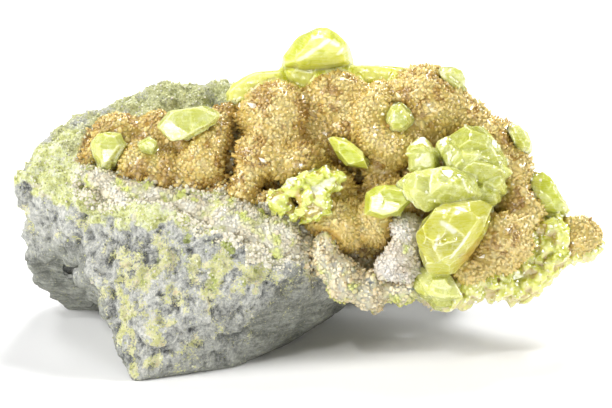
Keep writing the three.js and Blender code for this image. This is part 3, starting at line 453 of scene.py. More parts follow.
class Nodes:
    def __init__(self, name):
        self.mat = bpy.data.materials.new(name)
        self.mat.use_nodes = True
        self.t = self.mat.node_tree
        self.t.nodes.clear()
        self.out = self.t.nodes.new("ShaderNodeOutputMaterial")
        self.bsdf = self.t.nodes.new("ShaderNodeBsdfPrincipled")
        self.t.links.new(self.bsdf.outputs[0], self.out.inputs["Surface"])
        self.geo = self.t.nodes.new("ShaderNodeNewGeometry")
        self.co = self.t.nodes.new("ShaderNodeTexCoord").outputs["Object"]

    def link(self, a, b):
        self.t.links.new(a, b)

    def put(self, socket, value):
        if hasattr(value, "is_output"):
            self.link(value, socket)
        else:
            socket.default_value = value

    def att(self, name):
        n = self.t.nodes.new("ShaderNodeAttribute")
        n.attribute_name = name
        return n.outputs["Fac"]

    def tex(self, per_mm, detail=3.0, rough=0.55, stretch=None, dist=0.0):
        n = self.t.nodes.new("ShaderNodeTexNoise")
        n.inputs["Scale"].default_value = per_mm * 1000
        n.inputs["Detail"].default_value = detail
        n.inputs["Roughness"].default_value = rough
        n.inputs["Distortion"].default_value = dist
        src = self.co
        if stretch:
            m = self.t.nodes.new("ShaderNodeMapping")
            m.inputs["Scale"].default_value = stretch
            self.link(self.co, m.inputs["Vector"])
            src = m.outputs[0]
        self.link(src, n.inputs["Vector"])
        return n.outputs["Fac"]

    def cells(self, per_mm, feature="F1", out="Distance"):
        n = self.t.nodes.new("ShaderNodeTexVoronoi")
        n.feature = feature
        n.inputs["Scale"].default_value = per_mm * 1000
        self.link(self.co, n.inputs["Vector"])
        return n.outputs[out]

    def ramp(self, fac, stops):
        n = self.t.nodes.new("ShaderNodeValToRGB")
        e = n.color_ramp.elements
        while len(e) < len(stops):
            e.new(0.5)
        for k, (p, c) in enumerate(stops):
            e[k].position = p
            e[k].color = c if len(c) == 4 else (*c, 1.0)
        self.link(fac, n.inputs[0])
        return n.outputs[0]

    def step(self, fac, lo, hi, a=0.0, b=1.0):
        n = self.t.nodes.new("ShaderNodeMapRange")
        n.interpolation_type = "SMOOTHSTEP"
        self.link(fac, n.inputs["Value"])
        n.inputs["From Min"].default_value = lo
        n.inputs["From Max"].default_value = hi
        n.inputs["To Min"].default_value = a
        n.inputs["To Max"].default_value = b
        return n.outputs[0]

    def mix(self, fac, a, b, mode="MIX"):
        n = self.t.nodes.new("ShaderNodeMix")
        n.data_type = "RGBA"
        n.blend_type = mode
        self.put(n.inputs[0], fac)
        self.put(n.inputs[6], a)
        self.put(n.inputs[7], b)
        return n.outputs[2]

    def math(self, op, a, b=0.0, clamp=False):
        n = self.t.nodes.new("ShaderNodeMath")
        n.operation = op
        n.use_clamp = clamp
        self.put(n.inputs[0], a)
        self.put(n.inputs[1], b)
        return n.outputs[0]

    def blend_normal(self, share):
        """The surface normal drawn this far towards that of the body under the small crystals."""
        body = self.t.nodes.new("ShaderNodeCombineXYZ")
        for k, name in enumerate(("nx", "ny", "nz")):
            self.link(self.att(name), body.inputs[k])
        own = self.t.nodes.new("ShaderNodeNewGeometry")
        mixed = self.t.nodes.new("ShaderNodeMix")
        mixed.data_type = "VECTOR"
        mixed.inputs[0].default_value = share
        self.link(own.outputs["Normal"], mixed.inputs[4])
        self.link(body.outputs[0], mixed.inputs[5])
        unit = self.t.nodes.new("ShaderNodeVectorMath")
        unit.operation = "NORMALIZE"
        self.link(mixed.outputs[1], unit.inputs[0])
        return unit.outputs[0]

    def bump(self, height, mm, strength=1.0, before=None):
        n = self.t.nodes.new("ShaderNodeBump")
        n.inputs["Strength"].default_value = strength
        n.inputs["Distance"].default_value = mm * MM
        self.link(height, n.inputs["Height"])
        if before:
            self.link(before, n.inputs["Normal"])
        return n.outputs[0]

    def set(self, **kw):
        names = {
            "color": "Base Color", "rough": "Roughness", "ior": "IOR", "trans": "Transmission Weight",
            "sss": "Subsurface Weight", "sss_r": "Subsurface Radius", "sss_s": "Subsurface Scale",
            "normal": "Normal", "spec": "Specular IOR Level", "coat": "Coat Weight", "coat_rough": "Coat Roughness",
        }
        for k, v in kw.items():
            self.put(self.bsdf.inputs[names[k]], v)
        return self


def sulfur_material(name, deep, body, pale, milk, clear=0.1, milky=0.4, rough=0.2, sss=0.9, sss_s=0.0012, crevice_shade=lin(176, 136, 52), crevice_share=0.5, bands=0.2, edge_highlight_share=0.6):
    m = Nodes(name)
    tone = m.att("tone")
    big = m.tex(0.3, 3.0, 0.6)
    # planes inside the crystal: each cell of it is a little lighter or darker
    cell = m.t.nodes.new("ShaderNodeSeparateColor")
    m.link(m.cells(0.55, "F1", "Color"), cell.inputs[0])
    wide = m.math("ADD", m.math("MULTIPLY", big, 0.42), m.math("MULTIPLY", tone, 0.42))
    wide = m.math("ADD", wide, m.math("MULTIPLY", cell.outputs[0], 0.2))
    col = m.ramp(wide, [(0.28, deep), (0.5, body), (0.76, pale)])
    cloud = m.step(m.tex(0.6, 6.0, 0.72, dist=0.8), 0.48, 0.7, 0.0, milky)
    col = m.mix(cloud, col, milk)
    crack = m.step(m.cells(0.4, "DISTANCE_TO_EDGE"), 0.0, 0.03, 0.25, 0.0)
    col = m.mix(m.math("MULTIPLY", crack, m.step(m.tex(0.5, 2.0), 0.45, 0.6)), col, milk)
    lines = m.step(m.tex(1.3, 3.0, 0.6, stretch=(0.3, 0.3, 3.6)), 0.42, 0.62, 0.0, bands)
    col = m.mix(lines, col, milk)
    # painted highlight: edges that stand out are drawn towards the pale milky colour
    col = m.mix(m.step(m.att("edge"), 0.2, 0.85, 0.0, edge_highlight_share), col, milk)
    # painted shade: a brown-dark crevice colour where the crystal lies below its surroundings or is closed in (deep)
    col = m.mix(m.step(m.att("deep"), 0.3, 0.95, 0.0, crevice_share), col, crevice_shade)
    col = m.mix(m.att("rim"), col, lin(226, 206, 176))
    col = m.mix(m.math("MULTIPLY", m.att("warm"), 0.7), col, lin(196, 156, 82))
    # painted highlights: near-white streaks standing in for reflections on the faces
    col = m.mix(m.math("MULTIPLY", m.att("flaw"), 0.75), col, lin(252, 252, 240))
    r = m.step(m.tex(1.2, 4.0, 0.6), 0.32, 0.68, rough * 0.4, rough * 1.9)
    n = m.bump(m.tex(1.0, 3.0, 0.5, stretch=(0.5, 0.5, 5.0)), 0.05, 0.3)
    n = m.bump(m.tex(3.0, 4.0, 0.65), 0.05, 0.3, n)
    m.set(color=col, rough=r, ior=1.9, trans=clear, sss=sss, sss_r=(1.0, 0.99, 0.7), sss_s=sss_s, normal=n)
    return m.mat


def calcite_material(name, dark, mid, light, trans=0.1, sss=0.7, rough=0.2, sss_s=0.0012, veil=None, veil_share=1.0, radius=(1.0, 0.72, 0.4), soft=0.0):
    m = Nodes(name)
    tone = m.att("tone")
    up = m.att("up")
    big = m.tex(0.2, 3.0, 0.6)
    v = m.math("ADD", m.math("MULTIPLY", big, 0.34), m.math("MULTIPLY", tone, 0.1))
    v = m.math("ADD", v, 0.2)
    # painted light and shade: each point a little lighter towards its tip and darker at its base
    v = m.math("ADD", v, m.math("MULTIPLY", up, 0.07))
    # painted shade: darker where the druse is closed in by its neighbours or dented (deep)
    v = m.math("SUBTRACT", v, m.math("MULTIPLY", m.att("deep"), 0.42))
    col = m.ramp(v, [(0.0, dark), (0.36, mid), (0.7, light)])
    col = m.mix(m.step(m.tex(2.4, 3.0), 0.35, 0.75, 0.0, 0.3), col, m.mix(0.5, col, mid))
    if veil:
        col = m.mix(m.math("MULTIPLY", m.att("veil"), veil_share), col, veil)
    r = m.step(m.tex(1.5, 2.0), 0.3, 0.7, rough * 0.5, rough * 1.8)
    n = m.bump(m.tex(3.4, 3.0, 0.6), 0.04, 0.4, m.blend_normal(soft) if soft else None)
    m.set(color=col, rough=r, ior=1.6, trans=trans, sss=sss, sss_r=radius, sss_s=sss_s, normal=n)
    return m.mat


def crust_material():
    m = Nodes("sulfur_crust")
    v = m.math("ADD", m.math("MULTIPLY", m.att("tone"), 0.7), m.math("MULTIPLY", m.tex(0.45, 3.0), 0.5))
    col = m.ramp(v, [(0.22, lin(138, 138, 106)), (0.38, lin(190, 192, 134)), (0.55, lin(217, 219, 162)), (0.72, lin(234, 234, 204)), (0.92, lin(214, 206, 190))])
    n = m.bump(m.tex(4.0, 3.0, 0.6), 0.05, 0.5)
    m.set(color=col, rough=m.step(m.tex(2.0, 2.0), 0.3, 0.7, 0.35, 0.75), ior=1.6, sss=0.5, sss_r=(1.0, 0.9, 0.5), sss_s=0.0007, normal=n)
    return m.mat


def stone_material():
    m = Nodes("limestone")
    grain = m.tex(2.1, 8.0, 0.82)
    streak = m.tex(1.2, 5.0, 0.75, stretch=(1.6, 1.6, 0.5))
    patch = m.tex(0.2, 5.0, 0.65, dist=0.8)
    v = m.math("ADD", m.math("MULTIPLY", grain, 0.62), m.math("MULTIPLY", streak, 0.28))
    v = m.math("ADD", v, m.math("MULTIPLY", patch, 0.26))
    v = m.math("SUBTRACT", v, m.math("MULTIPLY", m.att("dark"), 0.085))
    # undercut faces: a little darker as painted shade
    v = m.math("SUBTRACT", v, m.math("MULTIPLY", m.att("under"), 0.045))
    # painted shade: darker in the hollows of the stone (deep)
    v = m.math("SUBTRACT", v, m.math("MULTIPLY", m.att("deep"), 0.12))
    col = m.ramp(v, [(0.4, lin(78, 80, 80)), (0.49, lin(146, 147, 144)), (0.57, lin(192, 193, 186)), (0.67, lin(236, 235, 226))])
    # undercut faces take a smoother grey: the smooth fracture face is real, its darker tone is painted shade
    smooth_col = m.ramp(m.math("ADD", m.math("MULTIPLY", m.tex(0.5, 6.0, 0.7, stretch=(0.7, 0.7, 3.0)), 0.7), m.math("MULTIPLY", grain, 0.3)), [(0.38, lin(94, 96, 88)), (0.5, lin(142, 144, 134)), (0.64, lin(184, 186, 174))])
    col = m.mix(m.math("MULTIPLY", m.att("under"), 0.8), col, smooth_col)
    speck = m.tex(2.6, 4.0, 0.7)
    # pale yellow flecks, mostly in their own patches and thinly elsewhere
    fleck = m.step(m.math("ADD", speck, m.math("MULTIPLY", m.att("fleck"), 0.24)), 0.59, 0.7, 0.0, 0.95)
    ochre = m.ramp(m.tex(0.8, 5.0, 0.75), [(0.34, lin(200, 200, 132)), (0.46, lin(221, 221, 152)), (0.56, lin(234, 231, 188)), (0.7, lin(226, 202, 154))])
    col = m.mix(fleck, col, ochre)
    crest = m.step(m.math("ADD", m.math("MULTIPLY", m.tex(2.0, 5.0, 0.75), 0.75), m.math("MULTIPLY", m.att("crest"), 0.42)), 0.5, 0.72, 0.0, 0.9)
    col = m.mix(crest, col, m.ramp(m.tex(1.9, 5.0, 0.75), [(0.34, lin(132, 134, 100)), (0.46, lin(188, 190, 128)), (0.56, lin(216, 218, 160)), (0.68, lin(236, 236, 206))]))
    green = m.step(m.math("ADD", m.math("MULTIPLY", m.tex(2.2, 4.0, 0.75), 0.6), m.math("MULTIPLY", m.att("green"), 0.45)), 0.48, 0.7, 0.0, 0.85)
    col = m.mix(green, col, m.ramp(m.tex(1.7, 3.0), [(0.35, lin(120, 128, 62)), (0.5, lin(176, 188, 92)), (0.66, lin(222, 230, 150))]))
    cream = m.step(m.math("ADD", m.math("MULTIPLY", m.tex(1.1, 4.0, 0.7), 0.5), m.math("MULTIPLY", m.att("cream"), 0.6)), 0.5, 0.72)
    col = m.mix(cream, col, m.ramp(m.tex(0.9, 5.0, 0.7), [(0.35, lin(196, 186, 152)), (0.5, lin(226, 221, 190)), (0.65, lin(243, 242, 222))]))
    yellow = m.step(m.math("ADD", m.math("MULTIPLY", m.tex(0.8, 4.0, 0.7), 0.55), m.math("MULTIPLY", m.att("yellow"), 0.62)), 0.52, 0.74)
    col = m.mix(yellow, col, m.ramp(m.tex(0.7, 5.0, 0.7), [(0.33, lin(156, 158, 98)), (0.44, lin(211, 214, 138)), (0.54, lin(234, 238, 182)), (0.62, lin(245, 248, 222)), (0.72, lin(228, 216, 202))]))
    col = m.mix(m.step(m.att("stain"), 0.15, 0.75, 0.0, 0.95), col, m.ramp(m.tex(1.0, 4.0, 0.7), [(0.35, lin(136, 98, 44)), (0.5, lin(186, 151, 86)), (0.65, lin(212, 192, 138))]))
    n = m.bump(m.tex(3.4, 6.0, 0.75), 0.3, 1.0)
    n = m.bump(m.tex(1.1, 5.0, 0.7), 0.5, 0.7, n)
    m.set(color=col, rough=m.step(m.tex(1.0, 2.0), 0.3, 0.7, 0.7, 0.95), ior=1.5, spec=0.35, normal=n)
    return m.mat


STONE = stone_material()
CRUST = crust_material()
LIME = (lin(181, 186, 42), lin(202, 208, 68), lin(217, 223, 110), lin(237, 240, 194))
SOFT = (lin(181, 184, 66), lin(202, 206, 96), lin(216, 219, 134), lin(236, 238, 204))
GOLD = (lin(182, 176, 38), lin(206, 204, 64), lin(222, 221, 106), lin(242, 242, 198))
SHELF = (lin(184, 188, 48), lin(213, 216, 84), lin(230, 232, 124), lin(246, 247, 208))
SULFUR_CLEAR = sulfur_material("sulfur_clear", lin(194, 200, 56), lin(215, 220, 90), lin(230, 233, 134), lin(242, 244, 206), clear=0.04, milky=0.35, rough=0.07, sss=1.0, sss_s=0.003)
SULFUR_BRIGHT = sulfur_material("sulfur_bright", *LIME, milky=0.35, rough=0.14)
SULFUR_SLAB = sulfur_material("sulfur_slab_mix", lin(201, 204, 40), lin(219, 222, 62), lin(230, 232, 104), lin(242, 245, 190), milky=0.15, rough=0.32, bands=0.1)
SULFUR_FROTH = sulfur_material("sulfur_froth", *LIME, milky=0.65, rough=0.12, crevice_shade=lin(168, 116, 44), crevice_share=0.95, edge_highlight_share=0.95)
SULFUR_MILKY = sulfur_material("sulfur_milky", *SOFT, milky=0.5, rough=0.18)
SULFUR_WARM = sulfur_material("sulfur_warm", *GOLD, milky=0.4, rough=0.1, clear=0.2, crevice_shade=lin(196, 140, 56))
SULFUR_LEDGE = sulfur_material("sulfur_ledge_mix", *SHELF, milky=0.6, rough=0.13, crevice_shade=lin(164, 110, 40), crevice_share=0.95, edge_highlight_share=0.9)
# near-white glossy colours for painted glints: the sparks on the sulfur and the glitter on the calcite
SPARK = Nodes("sulfur_sparks")
SPARK.set(color=(*lin(248, 249, 218)[:3], 1), rough=0.08, ior=1.9)
GLITTER = Nodes("calcite_glitter")
GLITTER.set(color=(*lin(250, 243, 224)[:3], 1), rough=0.06, ior=1.65)
GLITTER = GLITTER.mat
FINE = {}


def calcite(name, dark, mid, light, **k):
    """The material of the body of a druse, and that of its small points, which are too small to carry light inside."""
    m = calcite_material(name, dark, mid, light, **k)
    FINE[m.name] = calcite_material(name + "_points", dark, mid, light, **{**k, "sss": 1.0, "sss_s": 0.0002, "radius": (1.0, 0.92, 0.8), "soft": 0.55})
    return m


HONEY_MAT = calcite("honey_calcite", lin(150, 106, 42), lin(214, 187, 108), lin(238, 221, 160), trans=0.0, veil=lin(206, 202, 96), veil_share=0.4, sss=1.0, sss_s=0.0006, rough=0.2, radius=(1.0, 0.9, 0.6))
PALE_MAT = calcite("pale_calcite", lin(182, 164, 126), lin(224, 216, 192), lin(245, 242, 228), trans=0.0, rough=0.4, veil=lin(208, 214, 122), radius=(1.0, 0.85, 0.7))
PEACH_MAT = calcite("peach_calcite", lin(188, 150, 92), lin(225, 209, 170), lin(243, 237, 212), trans=0.0, rough=0.18, veil=lin(214, 218, 124), radius=(1.0, 0.8, 0.5), sss=1.0, sss_s=0.0016)
WHITE_MAT = calcite("white_calcite", lin(168, 142, 108), lin(216, 206, 189), lin(240, 236, 229), trans=0.0, rough=0.4, veil=lin(212, 220, 128), radius=(1.0, 0.85, 0.7))

# ---------------------------------------------------------------- the bodies

RAW = {name: cad(name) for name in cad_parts}


def tree_of(names):
    V, T, n = [], [], 0
    for name in names:
        v, t = RAW[name]
        V.append(v)
        T.append(t + n)
        n += len(v)
    return BVHTree.FromPolygons(np.concatenate(V).tolist(), np.concatenate(T).tolist())


def meet(V, N, tree, reach=0.75, sink=0.12):
    """Points that face a neighbour across a narrow gap go out until they just enter it."""
    for i in range(len(V)):
        hit = tree.find_nearest(V[i], reach)
        if hit[0] is None:
            continue
        way = np.array(hit[0]) - V[i]
        d = np.linalg.norm(way)
        if d > 1e-6 and way @ N[i] > 0.25 * d:
            V[i] += way * (1 + sink / d)
    return V


ALL = tree_of(list(RAW))
SULFUR_TREE = tree_of([n for n in RAW if n.startswith("sulfur")])
_dirs = np.random.default_rng(99).normal(size=(12, 3))
_dirs /= np.linalg.norm(_dirs, axis=1, keepdims=True)
_vecs = [(Vector(d), Vector(-d)) for d in _dirs]


def hidden(P, N, reach=5.0, start=0.5):
    """How closed in each point is, 0 to 1: the share of directions that meet the specimen again nearby."""
    out = np.zeros(len(P))
    side = P * 0 + N
    facing = side @ _dirs.T > 0
    O = P + N * start
    for i in range(len(P)):
        o = Vector(O[i])
        c = 0
        for k, (a, b) in enumerate(_vecs):
            if ALL.ray_cast(o, a if facing[i, k] else b, reach)[0] is not None:
                c += 1
        out[i] = c / len(_vecs)
    return out


def near(P, tree, reach):
    """Distance to the nearest point of the tree, or reach where there is none nearer."""
    out = np.full(len(P), reach)
    for i in range(len(P)):
        hit = tree.find_nearest(P[i], reach)
        if hit[0] is not None:
            out[i] = hit[3]
    return out


def relief(V, Q, times=4, scale=0.12):
    """How far each point stands out of (edge) or lies below (deep) its surroundings, 0 to 1 each."""
    h = ((V - smooth(V, Q, times)) * normals(V, Q)).sum(1) / scale
    return np.clip(h, 0, 1), np.clip(-h, 0, 1)


def build_stone():
    V, T = RAW["matrix_rock"]
    V, Q = keep_largest(*remesh(V, T, 0.48))
    V = smooth(V, Q, 2)
    N = normals(smooth(V, Q, 6), Q)
    foot = np.clip((V[:, 2] - 0.2) / 1.5, 0, 1)
    # faces that look down and forward: smoother relief, and painted shade in the stone's colour
    under = np.clip((-N[:, 2] - 0.05) * 3, 0, 1) * np.clip(-N[:, 1] * 4 + 1, 0, 1)
    rough = 1 - 0.6 * under
    f1, _ = facets(V, 5.0, 3)
    f2, _ = facets(V, 2.1, 4, 0.08)
    f3, _ = facets(V, 0.95, 5, 0.15)
    pits = np.clip(noise(V, 1.5, 14) - 0.12, 0, 1) * np.clip(1.5 * noise(V, 5.0, 15) + 0.6, 0, 1)
    h = 0.3 * f1 + 0.42 * f2 * rough + 0.5 * f3 * rough + 0.35 * noise(V, 3.0, 8) + (0.3 * noise(V, 0.9, 9) - 1.6 * pits) * rough
    V = V + N * (h * foot)[:, None]
    # hollows of the stone, drawn darker in its colour as painted shade
    _, deep = relief(V, Q, 8, 0.35)
    V = meet(V, normals(V, Q), tree_of([n for n in RAW if n != "matrix_rock"]))
    V[:, 2] = np.maximum(V[:, 2], 0)
    p = Piece("limestone_matrix")
    R = "matrix_rock"
    front = np.clip(0.5 - N[:, 1] * 2.5, 0, 1)

    def patchy(size, seed, cut):
        return np.clip((noise(V, size, seed) + 0.4 * noise(V, size * 0.4, seed + 1) - cut) * 5, 0, 1)

    masks = {
        "yellow": zone(V, R, [(0.09, 0.72, 0.1, 0.11), (0.2, 0.66, 0.12, 0.07), (0.34, 0.64, 0.1, 0.05)], 3.0, 51) * front,
        "cream": zone(V, R, [(0.12, 0.68, 0.09, 0.06), (0.3, 0.66, 0.12, 0.04)], 2.4, 53) * front,
        "fleck": np.maximum(
            zone(V, R, [(0.24, 0.27, 0.09, 0.26), (0.4, 0.46, 0.24, 0.15)], 3.0, 55) * patchy(2.8, 57, -0.06),
            0.75 * patchy(4.0, 59, 0.2),
        )
        * np.clip(front + 0.3, 0, 1)
        * (1 - 0.8 * under),
        "dark": np.clip(patchy(2.6, 61, 0.1), 0, 1) * np.clip(front + 0.3, 0, 1),
        "green": patchy(2.4, 65, 0.16) * zone(V, R, [(0.45, 0.52, 0.36, 0.16)], 3.0, 66) * front,
    }
    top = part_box(R)[1].z / MM
    up = np.clip(N[:, 2] * 1.6 - 0.1, 0, 1) * np.clip((V[:, 2] / top - 0.6) / 0.16, 0, 1)
    masks["crest"] = up * np.clip(0.8 + 1.3 * noise(V, 5.0, 12), 0, 1)
    G = normals(V, Q)
    # the druse stains the stone beside it and the hollows that it lines
    gaps = np.stack([near(V, tree_of([n]), 8.0) for n in DRUSES])
    owner = gaps.argmin(0)
    gap = gaps.min(0)
    shut = np.zeros(len(V))
    idx = np.where(gap < 7.9)[0]
    shut[idx] = hidden(V[idx], G[idx], 5.0, 0.6)
    stain = np.clip(1.3 - gap / 1.1 + 0.8 * noise(V, 1.8, 90), 0, 1) * np.clip(gap < 2, 0, 1)
    lo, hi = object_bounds()
    across = (V[:, 0] * MM - lo[0]) / (hi[0] - lo[0])
    right = (across > 0.54) | ((across > 0.4) & (V[:, 2] > 0.46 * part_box(R)[1].z / MM))
    recess = near(V, tree_of(["white_calcite_knob", "sulfur_recess_crystal"]), 8.0) < 7.5
    hollow = right & (G[:, 2] > -0.5) & (((gap < 7.8) & ((shut > 0.3) | (gap < 4.5))) | recess)
    pale = owner >= len(HONEY)
    masks["cream"] = np.maximum.reduce([masks["cream"], stain * pale, 1.0 * (hollow & pale & (gap < 4))])
    stain = np.maximum(stain * ~pale, 1.0 * (hollow & ~(pale & (gap < 4))))
    p.add(V, Q, under=under, deep=deep, tone=0.5, edge=0.0, stain=stain, **masks)
    # grains of pale sulfur and calcite on the crest and in the flecked patches
    want = np.clip(0.8 * masks["yellow"] + masks["crest"] * 0.8 + masks["fleck"] * 0.55 + masks["cream"] * 0.6 + masks["green"], 0, 1) ** 2
    r = np.random.default_rng(41)
    ok = np.where(r.random(len(V)) < want)[0]
    pick = ok[spread(V[ok], 0.52, 42)]
    U, W, D = frames(G[pick], 43, 0.7)
    size = np.stack([r.uniform(0.14, 0.36, len(pick)) for _ in range(3)], 1)
    gv, gf, gu, gt = grow(GRAIN, V[pick], U, W, D, size, r.random(len(pick)))
    p.add(gv, gf, slot=1, flat=True, tone=gt, up=gu)
    return p, V, G, gap, owner, shut, hollow


stone, SV, SN, SGAP, SOWNER, SSHUT, SHOLLOW = build_stone()
stone.make([STONE, CRUST], "matrix_rock", "limestone")


def points(p, shape, V, N, at, gap, size, tall, tilt, seed, deep, veil, vary=0.25, tone=None, flat=False, slot=0):
    """Grows small crystals on these surface points of V."""
    r = np.random.default_rng(seed)
    pick = at[spread(V[at], gap, seed + 1)]
    U, W, D = frames(N[pick], seed + 2, tilt)
    k = r.lognormal(0, vary, len(pick)).clip(0.5, 1.9)
    w = size * k * r.uniform(0.85, 1.15, len(pick))
    s = np.stack([w, w * r.uniform(0.8, 1.1, len(pick)), tall * k * r.uniform(0.75, 1.25, len(pick))], 1)
    t = r.random(len(pick)) if tone is None else np.full(len(pick), tone)
    P = V[pick] + (U * r.uniform(-0.4, 0.4, (len(pick), 1)) + W * r.uniform(-0.4, 0.4, (len(pick), 1))) * gap
    gv, gf, gu, gt = grow(shape, P, U, W, D, s, t)
    n = len(shape[0])
    p.add(gv, gf, slot=slot, flat=flat, tone=gt, up=gu, deep=np.repeat(deep[pick], n), veil=np.repeat(veil[pick], n), nx=np.repeat(N[pick, 0], n), ny=np.repeat(N[pick, 1], n), nz=np.repeat(N[pick, 2], n))
    return pick


def balls(name, others, reach):
    """Round lumps in the gaps between a growth and its neighbours, where they come this near each other."""
    tree = tree_of(others)
    V, Q = remesh(*RAW[name], 0.8)
    vs, fs, n = [], [], 0
    ico = bmesh.new()
    bmesh.ops.create_icosphere(ico, subdivisions=2, radius=1.0)
    iv = np.array([v.co[:] for v in ico.verts])
    it = np.array([[v.index for v in f.verts] for f in ico.faces])
    ico.free()
    for i in spread(V, 1.2, 5):
        co, _, _, d = tree.find_nearest(Vector(V[i]), reach)
        if co is None:
            continue
        vs.append((V[i] + np.array(co)) / 2 + iv * (d / 2 + 0.5))
        fs.append(it + n)
        n += len(iv)
    return vs, fs


def build_druse(name, mat, slot, voxel=0.27, gap=0.6, size=0.4, tall=0.62, tilt=0.4, lump=0.2, seed=1, veil=None, creep=1.0, glints=0.04, join=(), reach=3.5, inset=0.42, one=False, shade=0.95, vary=0.2):
    """A packed druse as one skin: the lumpy body with its crystal points grown out of it."""
    V, T = RAW[name]
    T = np.array(T)
    if join:
        bv, bf = balls(name, join, reach)
        T = np.concatenate([T] + [f + len(V) for f in bf])
        V = np.concatenate([V] + bv)
    V, Q = keep_largest(*remesh(V, T, 0.5))
    V = smooth(V, Q, 5)
    N = normals(V, Q)
    V = V + N * (lump * (noise(V, 3.2, seed) + 0.6 * noise(V, 1.4, seed + 1)) * 2 - inset)[:, None]
    others = tree_of([n for n in RAW if n != name])
    V = meet(V, normals(V, Q), others, 0.8, 0.1)
    N = normals(V, Q)
    p = Piece(name + "_points")
    ok = np.array([i for i in range(len(V)) if others.ray_cast(Vector(V[i] + N[i] * 0.12), Vector(N[i]), 0.5)[0] is None])
    # painted shade for the colour: how closed in and dented each point is
    _, dent = relief(V, Q, 12, 0.5)
    deep = shade * np.clip(hidden(V, N) * 0.9 - 0.2 + 0.4 * dent, 0, 1)
    if veil is not None:
        tint = np.clip((noise(V, veil[0], seed + 70) + 0.5 * noise(V, veil[0] * 0.4, seed + 72) - veil[1]) * 3, 0, 1)
    else:
        tint = np.clip(1.1 - near(V, SULFUR_TREE, 2.6) / 2.2, 0, 1) * np.clip(0.4 + 2.0 * noise(V, 1.8, seed + 71), 0, 1)
    skin = Piece("points")
    points(skin, CALCITE, V, N, ok, gap, size, tall, tilt, seed * 7 + 1, deep, tint, vary)
    # the same growth where it spreads onto the stone beside it, and down into the hollows between
    edge = creep * (1 + 1.3 * noise(SV, 2.2, seed + 80))
    mine = (SOWNER == DRUSES.index(name)) & (SN[:, 2] > -0.5) & (SV[:, 2] > 3)
    cand = np.where(mine & ((SGAP < edge) | SHOLLOW))[0]
    if len(cand):
        # their painted shade comes from how closed in the stone is there
        points(skin, CALCITE, SV, SN, cand, gap * 0.9, size * 0.9, tall * 0.9, tilt, seed * 7 + 40, 0.25 * SSHUT, np.zeros(len(SV)), vary)
    if not one:
        p.add(V, Q, tone=0.4, up=0.0, deep=deep, veil=tint)
        v, f = np.concatenate(skin.V), np.concatenate(skin.tris)
        p.add(v, f, slot=1, **{k: np.concatenate(a) for k, a in skin.att.items()})
        # painted glints: a few points pushed lighter (tone 1.6) and a few near-white glossy ones
        if glints:
            r = np.random.default_rng(seed + 300)
            few = ok[(r.random(len(ok)) < glints) & (N[ok][:, 2] > -0.1)]
            points(p, CALCITE, V, N, few, 1.2, size * 1.1, tall * 1.05, tilt * 1.6, seed * 7 + 20, deep * 0.3, tint * 0.5, tone=1.6, flat=True, slot=1)
            few = ok[(r.random(len(ok)) < glints * 0.14) & (N[ok][:, 2] > 0.0)]
            points(p, CALCITE, V, N, few, 1.5, size * 0.8, tall * 1.1, tilt * 1.8, seed * 7 + 25, deep * 0.0, tint * 0.0, tone=1.9, flat=True, slot=2)
        p.make([mat, FINE[mat.name]] + [GLITTER] * bool(glints), name, slot)
        return V, Q
    body = np.concatenate([Q[:, [0, 1, 2]], Q[:, [0, 2, 3]]])
    n = len(V)
    S, F = remesh(np.concatenate([V] + skin.V), np.concatenate([body] + [t + n for t in skin.tris]), voxel)
    S = smooth(S, F, 1, 0.25)
    tree = BVHTree.FromPolygons(V.tolist(), body.tolist())
    hits = [tree.find_nearest(v) for v in S.tolist()]
    at = body[[h[2] for h in hits], 0]
    up = np.clip(np.array([h[3] for h in hits]) / tall, 0, 1)
    tone = np.clip(0.5 + 0.9 * noise(S, 0.7, seed + 60), 0, 1)
    p.add(S, F, tone=tone, up=up, deep=deep[at], veil=tint[at])
    # painted glints: a few flat points pushed lighter (tone 1.9)
    if glints:
        r = np.random.default_rng(seed + 300)
        few = ok[(r.random(len(ok)) < glints) & (N[ok][:, 2] > -0.1)]
        points(p, CALCITE, V, N, few, 1.2, size * 0.9, tall * 1.05, tilt * 1.6, seed * 7 + 20, deep * 0.3, tint * 0.5, tone=1.9, flat=True)
    p.make([mat], name, slot)
    return V, Q


def with_cuts(V, T, r, main, count, depth):
    """The solid with flat crystal faces cut on it, each a little inside its surface."""
    bm = bmesh.new()
    vs = [bm.verts.new(v) for v in V]
    for t in T:
        bm.faces.new([vs[k] for k in t])
    for _ in range(count):
        n = main @ FACE_N[r.integers(len(FACE_N))] + r.normal(size=3) * 0.12
        n /= np.linalg.norm(n)
        d = max(float(v.co @ Vector(n)) for v in bm.verts) - depth * r.uniform(0.35, 1.0)
        bmesh.ops.bisect_plane(bm, geom=bm.verts[:] + bm.edges[:] + bm.faces[:], dist=1e-5, plane_co=Vector(n * d), plane_no=Vector(n), clear_outer=True)
        bmesh.ops.holes_fill(bm, edges=[e for e in bm.edges if e.is_boundary])
    bmesh.ops.triangulate(bm, faces=bm.faces[:])
    bm.verts.index_update()
    V = np.array([v.co[:] for v in bm.verts])
    T = np.array([[v.index for v in f.verts] for f in bm.faces])
    bm.free()
    return V, T


def flatten(V, Q, size, seed, limit=0.5):
    """Presses the surface onto flat patches about this far apart, as crystal faces, and gives each point its patch."""
    N = normals(smooth(V, Q, 5), Q)
    F = np.concatenate([V, N * size * 1.3], 1)
    S = F[spread(V, size, seed)]

    def nearest():
        lab = np.empty(len(F), int)
        s2 = (S * S).sum(1)
        for a in range(0, len(F), 20000):
            lab[a : a + 20000] = (s2[None] - 2 * F[a : a + 20000] @ S.T).argmin(1)
        return lab

    for _ in range(4):
        lab = nearest()
        count = np.bincount(lab, minlength=len(S)).clip(1)
        S = np.stack([np.bincount(lab, F[:, k], len(S)) for k in range(6)], 1) / count[:, None]
    lab = nearest()
    c = S[:, :3]
    n = S[:, 3:] + np.random.default_rng(seed).normal(size=(len(S), 3)) * 0.05 * size
    n /= np.linalg.norm(n, axis=1, keepdims=True)
    h = ((V - c[lab]) * n[lab]).sum(1)
    return V - n[lab] * np.clip(h, -limit, limit)[:, None], lab


